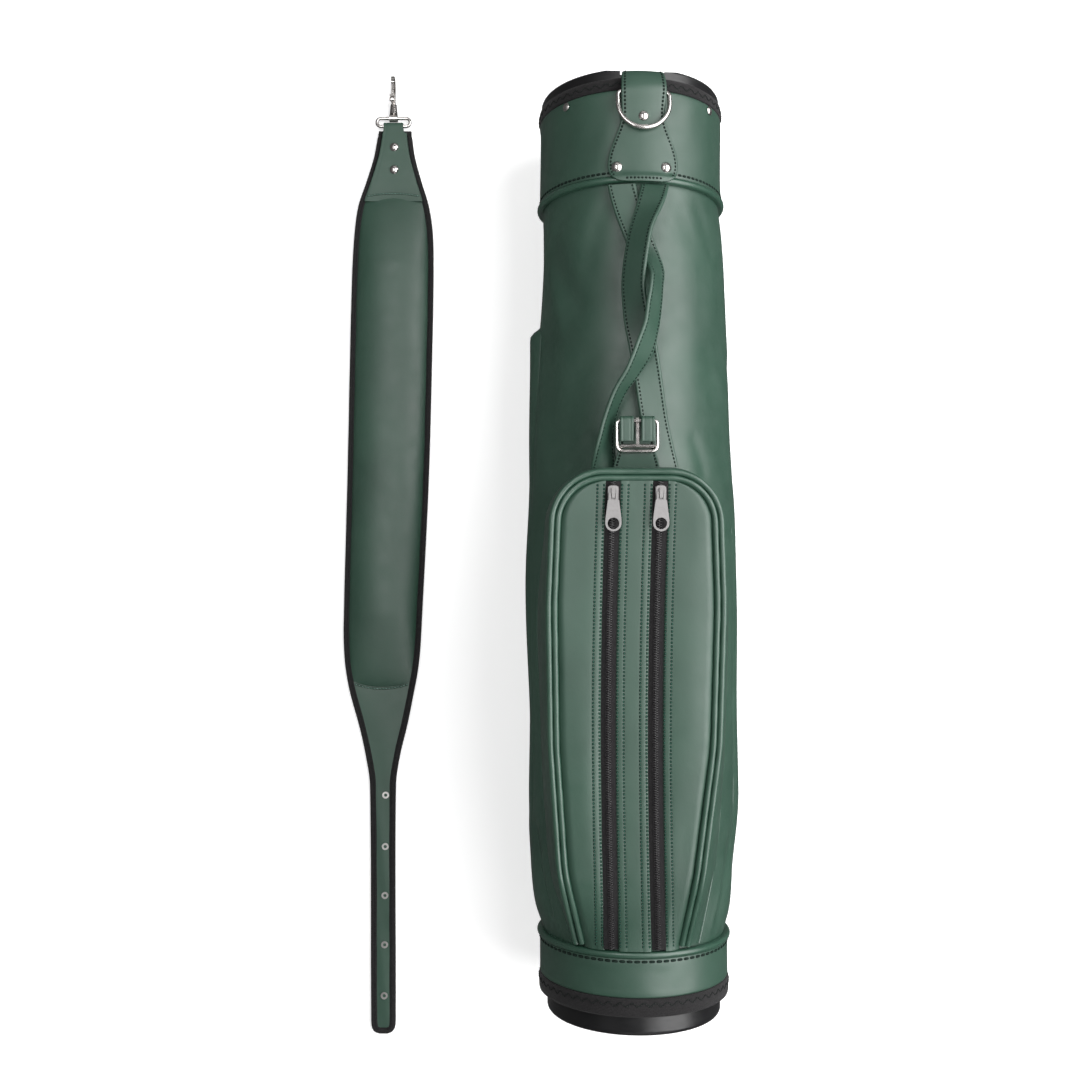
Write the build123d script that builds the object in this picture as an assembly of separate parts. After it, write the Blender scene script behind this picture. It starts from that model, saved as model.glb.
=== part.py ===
from build123d import *
import os
from math import asin, cos, degrees, radians, sin, tan

# Golf staff bag lying on its back on a flat surface, with its unclipped shoulder strap laid beside it.
# While it is drawn, Y is the height up the bag from the underside of the base, X is measured to the
# right of the bag's axis and Z is measured up from the bag's axis. place() at the end moves everything
# so that the origin is under the middle of the whole set, on the surface that it lies on.

# Driving dimensions, in millimetres
BAG_LENGTH = 920.0
CUFF_R = 93.5
AXIS_HEIGHT = 94.5
LEATHER = 3.0
GAP = 0.3

BINDING_OUT = 0.9
WELT_R = 3.1
BODY_END_R = 90.2
BODY_MID_R = 92.0

BASE_R = 86.0
BASE_HEIGHT = 62.0
BASE_FILLET = 4.5
BASE_BINDING_LOW = 20.0
BAND_LOW = 37.4
BAND_TOP = 73.6

CUFF_LOW = 812.0
CUFF_TOP = 897.0
CUFF_BINDING_TOP = 909.0
CORE_R_IN = 84.0
CORE_LOW = 792.0

TAB_TURN = 3.6
TAB_NECK_HALF = 20.0
TAB_FLARE_HALF = 34.0
TAB_LOW = 805.5
RING_WIRE = 4.5
RING_BAR_Y = 893.0
RING_BAR_R = 96.6
RING_HALF_WIDTH = 25.0
RING_DEPTH = 36.0

POCKET_TOP = 524.5
POCKET_LOW = 80.6
RAMP_Y = 515.0
RAMP_Z = 139.0
RAMP_SLOPE = 5.18
PIPING = 5.5
ZIP_X = (-27.0, 16.2)
ZIP_LENGTH = 424.0
ZIP_TOP = 508.5
ZIP_TRAVEL = 400.0
TAPE_WIDTH = 14.0

SIDE_POCKETS = {
    "left": {"side": -1, "radius": 104.0, "low": 112.0, "top": 686.0, "high_z": 16.0, "zip_turn": -118.0},
    "right": {"side": 1, "radius": 106.0, "low": 112.0, "top": 536.0, "high_z": 30.0, "zip_turn": 118.0},
}
SIDE_ZIP_END = 38.0

BUCKLE_X = -2.8
BUCKLE_BAR_Y = 572.0
BUCKLE_Z = 113.0
BUCKLE_WIRE = 3.4
BUCKLE_HALF_WIDTH = 19.0
BUCKLE_DEPTH = 28.5
CHAPE_HALF = 16.5
CHAPE_SLOT_HALF = 3.25
CHAPE_THICK = 2.0

STRAP_FLOOR = -AXIS_HEIGHT
STRAP_BINDING_W = 7.0
STRAP_BINDING_H = 5.0
PAD_LOW = 316.0
PAD_TOP = 854.0
EYELET_Y = (194.5, 139.4, 87.2, 34.8, -19.1)
EYELET_X = -261.0
LOOP_X = -257.5
LOOP_Y = 936.0

# Centre line of each handle strap: height up the bag, offset to the right, height above the bag's
# axis, and how far its outer face leans to the right in degrees
HANDLE_A = (
    (803, 17, 94, 2), (790, 13.8, 103, -10), (775, 9, 108, -25), (754, 1.6, 115, -37),
    (733, -2.6, 118, -38), (712, -5.4, 116, -39), (697, -5.8, 113.5, -39), (668, -2, 109, -26),
    (645, 3.5, 104.5, -10), (617, 8.5, 100, 3), (577, 14.5, 96.5, 9), (553, 19.5, 95.4, 12),
    (528, 25.5, 94.4, 15),
)
HANDLE_B = (
    (803, -15.5, 93.8, -9.5), (785, -11, 94.6, -7), (765, -4.5, 96, 0), (745, 3, 98, 8),
    (723, 13, 107, 42), (708, 15.5, 116, 62), (695, 14.8, 120.5, 61), (680, 12.8, 122, 57),
    (659, 9.6, 123, 56),
    (637, 2.7, 123.5, 47), (617, -7.7, 120, 59), (600, -19, 114.5, 66), (577, -28, 108.5, 66),
    (553, -32.5, 104, 54), (528, -34, 97.5, 20),
)

HANDLE_WIDTH = 26.0
HANDLE_THICK = 3.4

AXIS = Axis((0, 0, 0), (0, 1, 0))


# ---- general shapes ----

def turned(points):
    """A ring turned about the bag's axis from (radius, height) points."""
    return revolve(make_face(Polyline(*points, close=True)), axis=AXIS)


def ring(r_in, r_out, low, top):
    return turned([(r_in, low), (r_out, low), (r_out, top), (r_in, top)])


def torus_ring(r_mid, r_wire, height):
    return revolve(make_face(CenterArc((r_mid, height, 0), r_wire, 0, 360)), axis=AXIS)


def plan(line, z_low, z_high):
    """An outline seen from above, made solid between two heights."""
    face = make_face(line)
    if face.face().normal_at().Z < 0:
        face = -face.face()
    return Pos(0, 0, z_low) * extrude(face, z_high - z_low)


def rounded(points, radii, z=0.0):
    return FilletPolyline(*[(x, y, z) for x, y in points], radius=radii, close=True)


def block(x, y, z):
    """A box between pairs of limits."""
    size = [high - low for low, high in (x, y, z)]
    middle = [(high + low) / 2 for low, high in (x, y, z)]
    return Pos(*middle) * Box(*size)


def rod(start, end, radius):
    start, end = Vector(*start), Vector(*end)
    along = end - start
    return Plane(origin=(start + end) / 2, z_dir=along) * Cylinder(radius, along.length)


def wire_loop(points, radii, wire_r):
    """Round wire bent along a closed path that lies flat."""
    path = FilletPolyline(*points, radius=radii, close=True)
    start = Plane(origin=path @ 0, z_dir=path % 0)
    return sweep(make_face((start * Circle(wire_r)).wire().edges()), path=path.wire())


def joined(shapes):
    """One shape, with what touches fused."""
    total = shapes[0]
    for shape in shapes[1:]:
        total = total + shape
    return total


def group(shapes):
    """Separate solids kept as one named piece."""
    return Compound(children=[solid for shape in shapes for solid in shape.solids()])


def above_floor(shape, lift=0.0):
    top = 400.0
    floor = -AXIS_HEIGHT + lift
    return shape & block((-400, 400), (-100, 1100), (floor, top))


# ---- base ----

def base_cup():
    wall = 3.0
    outline = Polyline((0, 0), (BASE_R - BASE_FILLET, 0))
    corner = CenterArc((BASE_R - BASE_FILLET, BASE_FILLET), BASE_FILLET, 270, 90)
    rest = Polyline(
        (BASE_R, BASE_FILLET), (BASE_R, BASE_HEIGHT), (BASE_R - wall, BASE_HEIGHT),
        (BASE_R - wall, wall + 2), (0, wall + 2), (0, 0),
    )
    return revolve(make_face([*outline.edges(), *corner.edges(), *rest.edges()]), axis=AXIS)


def base_pad():
    return ring(0.0, BASE_R - 3.5, 5.3, 12.0)


def base_binding():
    inner, outer = BASE_R + GAP, CUFF_R + BINDING_OUT
    return above_floor(turned([
        (inner, BASE_BINDING_LOW + 2), (inner + 3, BASE_BINDING_LOW), (outer - 1.5, BASE_BINDING_LOW),
        (outer, BASE_BINDING_LOW + 2), (outer, BAND_LOW - 0.2), (inner, BAND_LOW - 0.2),
    ]))


def base_band():
    return ring(CUFF_R - LEATHER, CUFF_R, BAND_LOW, BAND_TOP)


def base_band_welt():
    welt = torus_ring(CUFF_R - 0.2, WELT_R, BAND_TOP + WELT_R + 0.1)
    return above_floor(welt - ring(0, BODY_END_R + GAP, BAND_TOP - 5, BAND_TOP + 15))


# ---- body ----

def body_outer_line(inset):
    """Half outline of the body tube, from inside the base band to inside the cuff."""
    straight_end, cuff_start = 84.0, 806.0
    bulge = Spline(
        (BODY_END_R - inset, straight_end), (BODY_MID_R - 0.6 - inset, 190), (BODY_MID_R - inset, 400),
        (BODY_MID_R - 1.0 - inset, 620), (BODY_END_R - inset, cuff_start),
        tangents=((0, 1), (0, 1)),
    )
    return bulge, straight_end, cuff_start


def body_tube(outer_inset, inner_inset, low, top):
    outer, straight_end, cuff_start = body_outer_line(outer_inset)
    inner, _, _ = body_outer_line(inner_inset)
    r_out, r_in = BODY_END_R - outer_inset, BODY_END_R - inner_inset
    edges = [
        *Line((r_in, low), (r_out, low)).edges(), *Line((r_out, low), (r_out, straight_end)).edges(),
        *outer.edges(), *Line((r_out, cuff_start), (r_out, top)).edges(),
        *Line((r_out, top), (r_in, top)).edges(), *Line((r_in, top), (r_in, cuff_start)).edges(),
        *inner.edges(), *Line((r_in, straight_end), (r_in, low)).edges(),
    ]
    return revolve(make_face(edges), axis=AXIS)


def body_shell():
    return body_tube(0.0, LEATHER, BAND_LOW + GAP, CUFF_LOW + 18)


def liner():
    return body_tube(LEATHER + 0.1, LEATHER + 1.1, 63.0, CORE_LOW - 1)


def stay_rods():
    rod_r, ring_r = 3.0, 79.6
    places = [(ring_r * sin(radians(a)), ring_r * cos(radians(a))) for a in (50, 130, 230, 310)]
    return group([rod((x, 20, z), (x, CORE_LOW + 50, z), rod_r) for x, z in places])


# ---- cuff and mouth ----

def cuff_core():
    step = CUFF_LOW + 18.3
    return turned([
        (CORE_R_IN, CORE_LOW), (BODY_END_R - LEATHER - GAP, CORE_LOW), (BODY_END_R - LEATHER - GAP, step),
        (CUFF_R - LEATHER - 0.1, step), (CUFF_R - LEATHER - 0.1, CUFF_TOP), (CORE_R_IN, CUFF_TOP),
    ])


def cuff_shell():
    return ring(CUFF_R - LEATHER, CUFF_R, CUFF_LOW, CUFF_TOP)


def cuff_welt():
    welt = torus_ring(CUFF_R - 0.2, WELT_R, CUFF_LOW - WELT_R - 0.1)
    return above_floor(welt - ring(0, BODY_END_R + GAP, CUFF_LOW - 15, CUFF_LOW + 5))


def cuff_binding():
    outer = CUFF_R + BINDING_OUT
    return turned([
        (88.4, CUFF_TOP + 0.1), (outer, CUFF_TOP + 0.1), (outer, CUFF_BINDING_TOP - 3),
        (outer - 1.2, CUFF_BINDING_TOP - 0.6), (outer - 2.5, CUFF_BINDING_TOP), (88.4, CUFF_BINDING_TOP),
    ])


def top_rim():
    flange = CUFF_BINDING_TOP + 0.3
    rim = turned([
        (CORE_R_IN - 0.4, CUFF_TOP + 0.2), (88.1, CUFF_TOP + 0.2), (88.1, flange), (91.6, flange),
        (91.6, BAG_LENGTH - 3), (90.6, BAG_LENGTH - 1), (88.6, BAG_LENGTH), (86.0, BAG_LENGTH),
        (CORE_R_IN + 0.2, BAG_LENGTH - 0.8), (CORE_R_IN - 0.4, BAG_LENGTH - 2.4),
    ])
    dip_r, dip_floor, tab_notch = 150.0, 915.0, 912.6
    dip = plan(CenterArc((0, dip_floor + dip_r, 0), dip_r, 0, 360), 60, 110)
    notch = block((-TAB_NECK_HALF - 1.5, TAB_NECK_HALF + 1.5), (tab_notch, BAG_LENGTH + 5), (60, 110))
    return turn_to_tab(rim - dip - notch)


def divider_bars():
    """Two padded bars crossing the mouth on the diagonals."""
    reach, half, low, top = CORE_R_IN - 0.8, 3.5, 850.0, 905.0
    bar = block((-reach, reach), (low, top), (-half, half))
    cross = Rot(0, 45, 0) * bar + Rot(0, -45, 0) * bar
    return cross & ring(0, reach, low - 1, top + 1)


def dome(radius, height):
    """A low dome with its flat side on Z = 0."""
    sphere_r = (radius * radius + height * height) / (2 * height)
    ball = Pos(0, 0, height - sphere_r) * Sphere(sphere_r)
    return ball & block((-radius, radius), (-radius, radius), (0, height + 1))


def on_bag(shape, turn, height, radius):
    """Set a shape on the bag's side: turn in degrees from the top line, towards the right."""
    return Rot(0, turn, 0) * Pos(0, height, radius) * shape


def cuff_rivets():
    turns = (TAB_TURN - 50, TAB_TURN + 50, TAB_TURN - 130, TAB_TURN + 130)
    return group([on_bag(dome(4.3, 1.6), turn, CUFF_TOP - 5.2, CUFF_R + 0.35) for turn in turns])


# ---- ring tab and ring ----

def turn_to_tab(shape):
    return Rot(0, TAB_TURN, 0) * shape


def ring_tab():
    """Leather tab: up the cuff, out over the ring's bar, over the rim and a little way down inside."""
    thick, face = 2.4, CUFF_R + 0.5
    bulge_r = RING_WIRE / 2 + 0.5
    over = 913.2
    bar_top = RING_BAR_R + bulge_r + 2.1
    inside = CORE_R_IN - 0.9
    over_welt, welt_top = CUFF_R + 3.3, CUFF_LOW + 0.8
    inner_side = [
        (over_welt, TAB_LOW), (over_welt, welt_top - 2.3), (face, welt_top + 0.4),
        (face, RING_BAR_Y - bulge_r - 5), (RING_BAR_R, RING_BAR_Y - bulge_r - 2.5),
        (bar_top, RING_BAR_Y - 1.5), (bar_top, RING_BAR_Y + 1.5), (RING_BAR_R, RING_BAR_Y + bulge_r + 2.5),
        (95.0, RING_BAR_Y + bulge_r + 5), (95.0, over), (inside, over), (inside, CUFF_TOP + 2),
    ]
    outer_side = [
        (inside - thick, CUFF_TOP + 2), (inside - thick, over + 1.2), (inside - 0.6, over + thick),
        (95.6, over + thick - 0.6), (95.0 + thick, over - 1.0), (95.0 + thick, RING_BAR_Y + bulge_r + 5.5),
        (RING_BAR_R + thick, RING_BAR_Y + bulge_r + 3.5), (bar_top + thick, RING_BAR_Y + 2.5),
        (bar_top + thick, RING_BAR_Y - 2.5), (RING_BAR_R + thick, RING_BAR_Y - bulge_r - 3.5),
        (face + thick, RING_BAR_Y - bulge_r - 6), (face + thick, welt_top + 1.8),
        (over_welt + thick, welt_top - 1.2), (over_welt + thick, TAB_LOW),
    ]
    neck, flare = TAB_NECK_HALF, TAB_FLARE_HALF
    outline = rounded(
        [
            (-neck, 930), (-neck, 872), (-flare, 830), (-flare, TAB_LOW),
            (flare, TAB_LOW), (flare, 830), (neck, 872), (neck, 930),
        ],
        [0, 30, 25, 17, 17, 25, 30, 0],
    )
    tab = turned(inner_side + outer_side) & plan(outline, 40, 120)
    for x, y in tab_rivet_places():
        tab = tab - on_bag(Cylinder(1.6, 30), degrees(asin(x / CUFF_R)), y, CUFF_R)
    return turn_to_tab(tab)


def tab_rivet_places():
    return ((0, 870.0), (-25.0, 820.5), (21.5, 820.5))


def tab_rivets():
    heads = []
    for x, y in tab_rivet_places():
        rivet = dome(5.3, 2.8) + Pos(0, 0, -1.1) * Cylinder(1.5, 2.4)
        heads.append(on_bag(rivet, degrees(asin(x / CUFF_R)), y, CUFF_R + 3.2))
    return turn_to_tab(group(heads))


def d_ring():
    w, d = RING_HALF_WIDTH, RING_DEPTH
    curve = w - 0.2
    path = [(-w, 0, 0), (w, 0, 0), (w, -d, 0), (-w, -d, 0)]
    ring_wire = wire_loop(path, [4.5, 4.5, curve, curve], RING_WIRE / 2)
    lean = degrees(asin(3.4 / RING_DEPTH))
    return turn_to_tab(Pos(0, RING_BAR_Y, RING_BAR_R) * Rot(-lean, 0, 0) * ring_wire)


# ---- handle ----

def handle_strap(stations):
    """A flat strap through its stations, with straight edges between them."""
    sections = []
    for height, x, z, lean in stations:
        across = Vector(cos(radians(lean)), 0, -sin(radians(lean)))
        flat = Plane(origin=(x, height, z), x_dir=across, z_dir=(0, 1, 0))
        sections.append(flat * Rectangle(HANDLE_WIDTH, HANDLE_THICK))
    return loft(sections, ruled=True)


# ---- buckle ----

def buckle_chape():
    """Leather loop that holds the buckle: up from the pocket, round the bar and back on itself."""
    z, bar_y = BUCKLE_Z, BUCKLE_BAR_Y
    inner, outer = 2.6, 2.6 + CHAPE_THICK
    base_low, lobe_low = 528.0, 553.0
    loop_start = bar_y - 1
    profile = [
        (base_low, z - outer), (loop_start, z - outer), (bar_y + 3, z - outer + 0.6), (bar_y + outer, z),
        (bar_y + 3, z + outer - 0.6), (loop_start, z + outer), (lobe_low, z + outer - 0.6),
        (lobe_low, z + inner - 0.6), (loop_start, z + inner),
        (bar_y + 1.6, z + inner - 0.9), (bar_y + inner, z),
        (bar_y + 1.6, z - inner + 0.9), (loop_start, z - inner), (base_low, z - inner),
    ]
    side = make_face(Polyline(*[(0, y, h) for y, h in profile], close=True))
    folded = extrude(side, 60, dir=(1, 0, 0), both=True)
    half = CHAPE_HALF
    outline = rounded(
        [
            (-half, 580), (-half, 548), (-half - 5.5, base_low - 2),
            (half + 5.5, base_low - 2), (half, 548), (half, 580),
        ],
        [0, 20, 0, 0, 20, 0],
    )
    chape = folded & plan(outline, z - 10, z + 10)
    slot = rounded(
        [(-CHAPE_SLOT_HALF, 590), (-CHAPE_SLOT_HALF, 550), (CHAPE_SLOT_HALF, 550), (CHAPE_SLOT_HALF, 590)],
        [0, 1, 1, 0],
    )
    eye_room = block((-CHAPE_SLOT_HALF, CHAPE_SLOT_HALF), (bar_y - 5, bar_y + 20), (z - 10, z + 10))
    return Pos(BUCKLE_X, 0, 0) * (chape - plan(slot, z - 1.5, z + 10) - eye_room)


def at_buckle(shape):
    return Pos(BUCKLE_X, BUCKLE_BAR_Y, BUCKLE_Z) * shape


def buckle_frame():
    w, d, roller_y = BUCKLE_HALF_WIDTH, BUCKLE_DEPTH, -23.5
    hoop = wire_loop([(-w, 0, 0), (w, 0, 0), (w, -d, 0), (-w, -d, 0)], [3.2, 3.2, 6, 6], BUCKLE_WIRE / 2)
    cross_pin = rod((-w, roller_y, 0), (w, roller_y, 0), 1.0)
    return at_buckle(hoop + cross_pin)


def buckle_roller():
    half, roller_y = 15.5, -23.5
    bore = rod((-20, roller_y, 0), (20, roller_y, 0), 1.25)
    return at_buckle(rod((-half, roller_y, 0), (half, roller_y, 0), 2.0) - bore)


def buckle_prong():
    """Tongue with an eye round the frame's bar; its tip rests on the roller."""
    eye_in, eye_out, half, roller_y = 2.2, 3.9, 1.4, -23.5
    eye = Rot(0, 90, 0) * (Cylinder(eye_out, 2 * half) - Cylinder(eye_in, 4 * half))
    rest = 2.0 + 0.35
    blade = [
        (-3.0, 1.2), (-3.2, 3.6), (-12, 5.0), (roller_y - 1.5, rest + 2.6), (roller_y - 3.0, rest + 1.2),
        (roller_y - 1.2, rest), (roller_y + 3, rest + 0.2), (-12, 2.6),
    ]
    side = make_face(Polyline(*[(0, y, h) for y, h in blade], close=True))
    tongue = extrude(side, half, dir=(1, 0, 0), both=True)
    return at_buckle(eye + tongue)


# ---- front pocket ----

def pocket_outline(inset=0.0, z=0.0):
    """Outline of the front pocket seen from above, pulled in by inset."""
    left = [(-54.5, POCKET_LOW - 34), (-78.5, 152), (-86.5, 270), (-88.5, 400), (-83.5, POCKET_TOP)]
    right = [(73, POCKET_TOP), (77.7, 400), (74.5, 270), (60, 152), (41, POCKET_LOW - 34)]
    radii = [0, 200, 300, 400, 50, 50, 400, 300, 200, 0]
    line = rounded(left + right, radii, z)
    return offset(line.wire(), -inset) if inset else line


def ramp_height(y):
    return RAMP_Z + (y - RAMP_Y) * tan(radians(RAMP_SLOPE))


def under_ramp(depth_top, depth_low):
    """A slab that lies between two depths below the pocket's sloping front."""
    low_y, top_y = POCKET_LOW, POCKET_TOP + 10
    points = [
        (0, low_y, ramp_height(low_y) - depth_low), (0, top_y, ramp_height(top_y) - depth_low),
        (0, top_y, ramp_height(top_y) - depth_top), (0, low_y, ramp_height(low_y) - depth_top),
    ]
    return extrude(make_face(Polyline(*points, close=True)), 120, dir=(1, 0, 0), both=True)


def clear_of_body(shape):
    return shape - body_tube(-GAP, BODY_END_R, 30, CUFF_LOW)


def pocket_gusset():
    walls = plan(pocket_outline(), 10, 150) - plan(pocket_outline(LEATHER), -10, 160)
    return clear_of_body(walls & under_ramp(PIPING + 0.2, 200))


def pocket_piping(inset_out, inset_in):
    loop = plan(pocket_outline(inset_out), 0, 150) - plan(pocket_outline(inset_in), -10, 160)
    return loop & under_ramp(0, PIPING)


def pocket_panel(x_low, x_high):
    sheet = plan(pocket_outline(2 * PIPING + 0.4), 0, 150) & under_ramp(1.0, 1.0 + LEATHER)
    return sheet & block((x_low, x_high), (POCKET_LOW, POCKET_TOP), (0, 200))


# ---- zips ----

def zip_pieces(length):
    """A zip along -Y from the origin, with its tape's outer face on Z = 0."""
    half = TAPE_WIDTH / 2
    tape = block((-half, half), (-length, 4), (-1.2, 0))
    coil = joined([block((s * 1.2 - 1.0, s * 1.2 + 1.0), (-length, 3), (0.05, 1.9)) for s in (-1, 1)])
    deck, deck_low, deck_high = 4.8, 2.3, 3.9
    slider_outline = rounded([(-deck, 0.5), (-deck, -13), (deck, -13), (deck, 0.5)], [3, 2, 2, 3])
    slider = plan(slider_outline, deck_low, deck_high)
    rail = (0.4, deck_low + 0.2)
    slider += joined([block((s * 4.0 - 0.8, s * 4.0 + 0.8), (-12, -0.5), rail) for s in (-1, 1)])
    bridge = block((-1.5, 1.5), (-10.5, -2), (deck_high - 0.2, 8.2))
    bridge = bridge - rod((-5, -6.5, 6.2), (5, -6.5, 6.2), 1.15)
    slider += bridge
    return tape, coil, slider, zip_pull()


def zip_pull():
    """Flat pull with a round hole, hung on the slider's bridge."""
    pivot_y, pivot_z, end_y = -6.5, 6.2, -40.8
    plate_outline = rounded(
        [(-5.0, -12), (-7.3, -30), (-7.3, end_y), (7.3, end_y), (7.3, -30), (5.0, -12)],
        [1.5, 20, 7.1, 7.1, 20, 1.5],
    )
    plate = plan(plate_outline, 5.4, 7.0) - Pos(0, end_y + 7.1, 0) * Cylinder(5.3, 40)
    arms = joined([block((s * 3.0 - 0.9, s * 3.0 + 0.9), (-14, pivot_y + 0.9), (5.4, 7.0)) for s in (-1, 1)])
    pin = rod((-3.6, pivot_y, pivot_z), (3.6, pivot_y, pivot_z), 0.9)
    return plate + arms + pin


def front_zip(x):
    place = Pos(x, ZIP_TOP, ramp_height(ZIP_TOP) - 1.0) * Rot(RAMP_SLOPE, 0, 0)
    return [place * piece for piece in zip_pieces(ZIP_LENGTH)]


# ---- side pockets ----

def side_pocket_block(spec, wall):
    """The outer form of a side pocket, pulled in by wall on every side but its back."""
    side, r_out = spec["side"], spec["radius"] - wall
    low, top, high_z = spec["low"] + wall, spec["top"] - wall, spec["high_z"] - wall
    taper, inner_x = 26.0, 28.0 + wall
    outer = turned([
        (70, low), (r_out - 10, low), (r_out, low + taper), (r_out, top - 8), (r_out - 3, top), (70, top),
    ])
    corners = [(0, low, -120), (0, low, high_z), (0, top, high_z), (0, top, -120)]
    outline = FilletPolyline(*corners, radius=[40, 24])
    edges = [*outline.edges(), *Line((0, top, -120), (0, low, -120)).edges()]
    wedge = extrude(make_face(edges), 150, dir=(side, 0, 0))
    quarter = block(sorted((inner_x * side, 140 * side)), (0, 900), (-120, 60))
    return above_floor(outer & wedge & quarter, wall)


def side_pocket(spec):
    """A long hollow pocket that wraps the back quarter of the bag and rests on the floor."""
    pocket = clear_of_body(side_pocket_block(spec, 0) - side_pocket_block(spec, LEATHER))
    trench = TAPE_WIDTH / 2 + 0.3
    ends = (spec["low"] + SIDE_ZIP_END + 7, spec["top"] - SIDE_ZIP_END + 5)
    cut = block((-trench, trench), ends, (-LEATHER - 1, 12))
    return pocket - Rot(0, spec["zip_turn"], 0) * Pos(0, 0, spec["radius"]) * cut


def side_zip(spec):
    length = spec["top"] - spec["low"] - 2 * SIDE_ZIP_END - 8
    place = Rot(0, spec["zip_turn"], 0) * Pos(0, spec["top"] - SIDE_ZIP_END, spec["radius"] - 0.7)
    return [place * piece for piece in zip_pieces(length)]


# ---- shoulder strap ----

def strap_outline(inset=0.0):
    left = [
        (-274, 931), (-279, 900), (-297, 846), (-303, 770), (-306, 540), (-309.5, 350), (-301, 305),
        (-283, 238), (-278.5, 205), (-275, -59.5),
    ]
    right = [
        (-248.5, -59.5), (-250, 205), (-246, 236), (-232, 302), (-224.5, 350), (-216, 540), (-211.5, 770),
        (-217, 846), (-233.5, 900), (-237, 931),
    ]
    bends = [4, 90, 70, 150, 900, 60, 60, 120, 100, 13.1]
    line = rounded(left + right, bends + bends[::-1])
    return offset(line.wire(), -inset) if inset else line


def strap_zone(y_low, y_high, z_low, z_high, inset):
    sheet = plan(strap_outline(inset), STRAP_FLOOR + z_low, STRAP_FLOOR + z_high)
    return sheet & block((-400, -100), (y_low, y_high), (STRAP_FLOOR - 1, STRAP_FLOOR + 40))


def strap_binding():
    outer = plan(strap_outline(), STRAP_FLOOR, STRAP_FLOOR + STRAP_BINDING_H)
    inner = plan(strap_outline(STRAP_BINDING_W), STRAP_FLOOR - 1, STRAP_FLOOR + STRAP_BINDING_H + 1)
    fold_gap = block((-300, -200), (924, 940), (STRAP_FLOOR - 1, STRAP_FLOOR + 10))
    return outer - inner - fold_gap


def strap_backing():
    return strap_zone(-70, PAD_TOP, 0.4, 2.0, STRAP_BINDING_W + 0.2) - eyelet_holes(2.7)


def strap_pad_core():
    return strap_zone(PAD_LOW + 12, PAD_TOP - 12, 2.2, 9.0, STRAP_BINDING_W + 9)


def strap_pad_face():
    high = plan(strap_outline(STRAP_BINDING_W + 2.5), STRAP_FLOOR + 4.0, STRAP_FLOOR + 11.0)
    high = high & block((-400, -100), (PAD_LOW + 5, PAD_TOP - 5), (STRAP_FLOOR, STRAP_FLOOR + 20))
    low = strap_zone(PAD_LOW + 0.2, PAD_TOP - 0.2, 2.1, 4.2, STRAP_BINDING_W + 0.2)
    hollow = strap_zone(PAD_LOW + 11, PAD_TOP - 11, 1.0, 9.2, STRAP_BINDING_W + 8.6)
    return low + high - hollow


def strap_tail():
    return strap_zone(-70, PAD_LOW - 0.2, 2.1, 4.2, STRAP_BINDING_W + 0.2) - eyelet_holes(2.7)


def strap_top_end():
    """Upper leather: two layers that fold round the metal loop."""
    z, inner, thick = 4.6, 2.3, 1.8
    outer = inner + thick
    profile = [
        (PAD_TOP + 0.2, z - outer), (LOOP_Y, z - outer), (LOOP_Y + 3, z - outer + 1), (LOOP_Y + outer, z),
        (LOOP_Y + 3, z + outer - 1), (LOOP_Y, z + outer), (PAD_TOP + 0.2, z + outer - 2.6),
        (PAD_TOP + 0.2, z + inner - 2.6), (LOOP_Y - 1, z + inner), (LOOP_Y + 1.5, z + inner - 0.7),
        (LOOP_Y + inner, z), (LOOP_Y + 1.5, z - inner + 0.7), (LOOP_Y - 1, z - inner),
        (PAD_TOP + 0.2, z - inner),
    ]
    side = make_face(Polyline(*[(0, y, STRAP_FLOOR + h) for y, h in profile], close=True))
    folded = Pos(LOOP_X, 0, 0) * extrude(side, 60, dir=(1, 0, 0), both=True)
    width = plan(strap_outline(STRAP_BINDING_W + 0.2), STRAP_FLOOR - 1, STRAP_FLOOR + 20)
    fold = block((LOOP_X - 14, LOOP_X + 14), (924.2, 950), (STRAP_FLOOR - 1, STRAP_FLOOR + 20))
    fold += block((LOOP_X - 9, LOOP_X + 9), (915, 925), (STRAP_FLOOR - 1, STRAP_FLOOR + 20))
    end = folded & (width + fold)
    for _, y in strap_rivet_places():
        end = end - Pos(LOOP_X + 1.5, y, STRAP_FLOOR + 5) * Cylinder(1.6, 20)
    return end


def strap_rivet_places():
    return ((0, 911.0), (0, 885.5))


def strap_rivets():
    heads = []
    for _, y in strap_rivet_places():
        rivet = dome(5.0, 2.4) + Pos(0, 0, -3.8) * Cylinder(1.5, 8)
        heads.append(Pos(LOOP_X + 1.5, y, STRAP_FLOOR + 8.8) * rivet)
    return group(heads)


def eyelet_holes(radius):
    return joined([Pos(EYELET_X, y, STRAP_FLOOR + 2) * Cylinder(radius, 12) for y in EYELET_Y])


def strap_eyelets():
    rings = []
    for y in EYELET_Y:
        barrel = Pos(0, 0, 2.4) * Cylinder(2.5, 4.2)
        flange = Pos(0, 0, 4.8) * Cylinder(3.7, 0.9)
        rings.append(Pos(EYELET_X, y, STRAP_FLOOR) * (barrel + flange - Cylinder(1.8, 20)))
    return group(rings)


# ---- snap hook ----

HOOK_Z = STRAP_FLOOR + 11.5
LOOP_Z = STRAP_FLOOR + 4.6


def strap_loop():
    """Flat oblong metal loop: the strap folds round its near bar and the swivel hangs on the far one."""
    half, depth = 18.5, 9.0
    path = [(-half, 0, 0), (half, 0, 0), (half, depth, 0), (-half, depth, 0)]
    return Pos(LOOP_X, LOOP_Y, LOOP_Z) * wire_loop(path, 4.2, 1.7)


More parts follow.
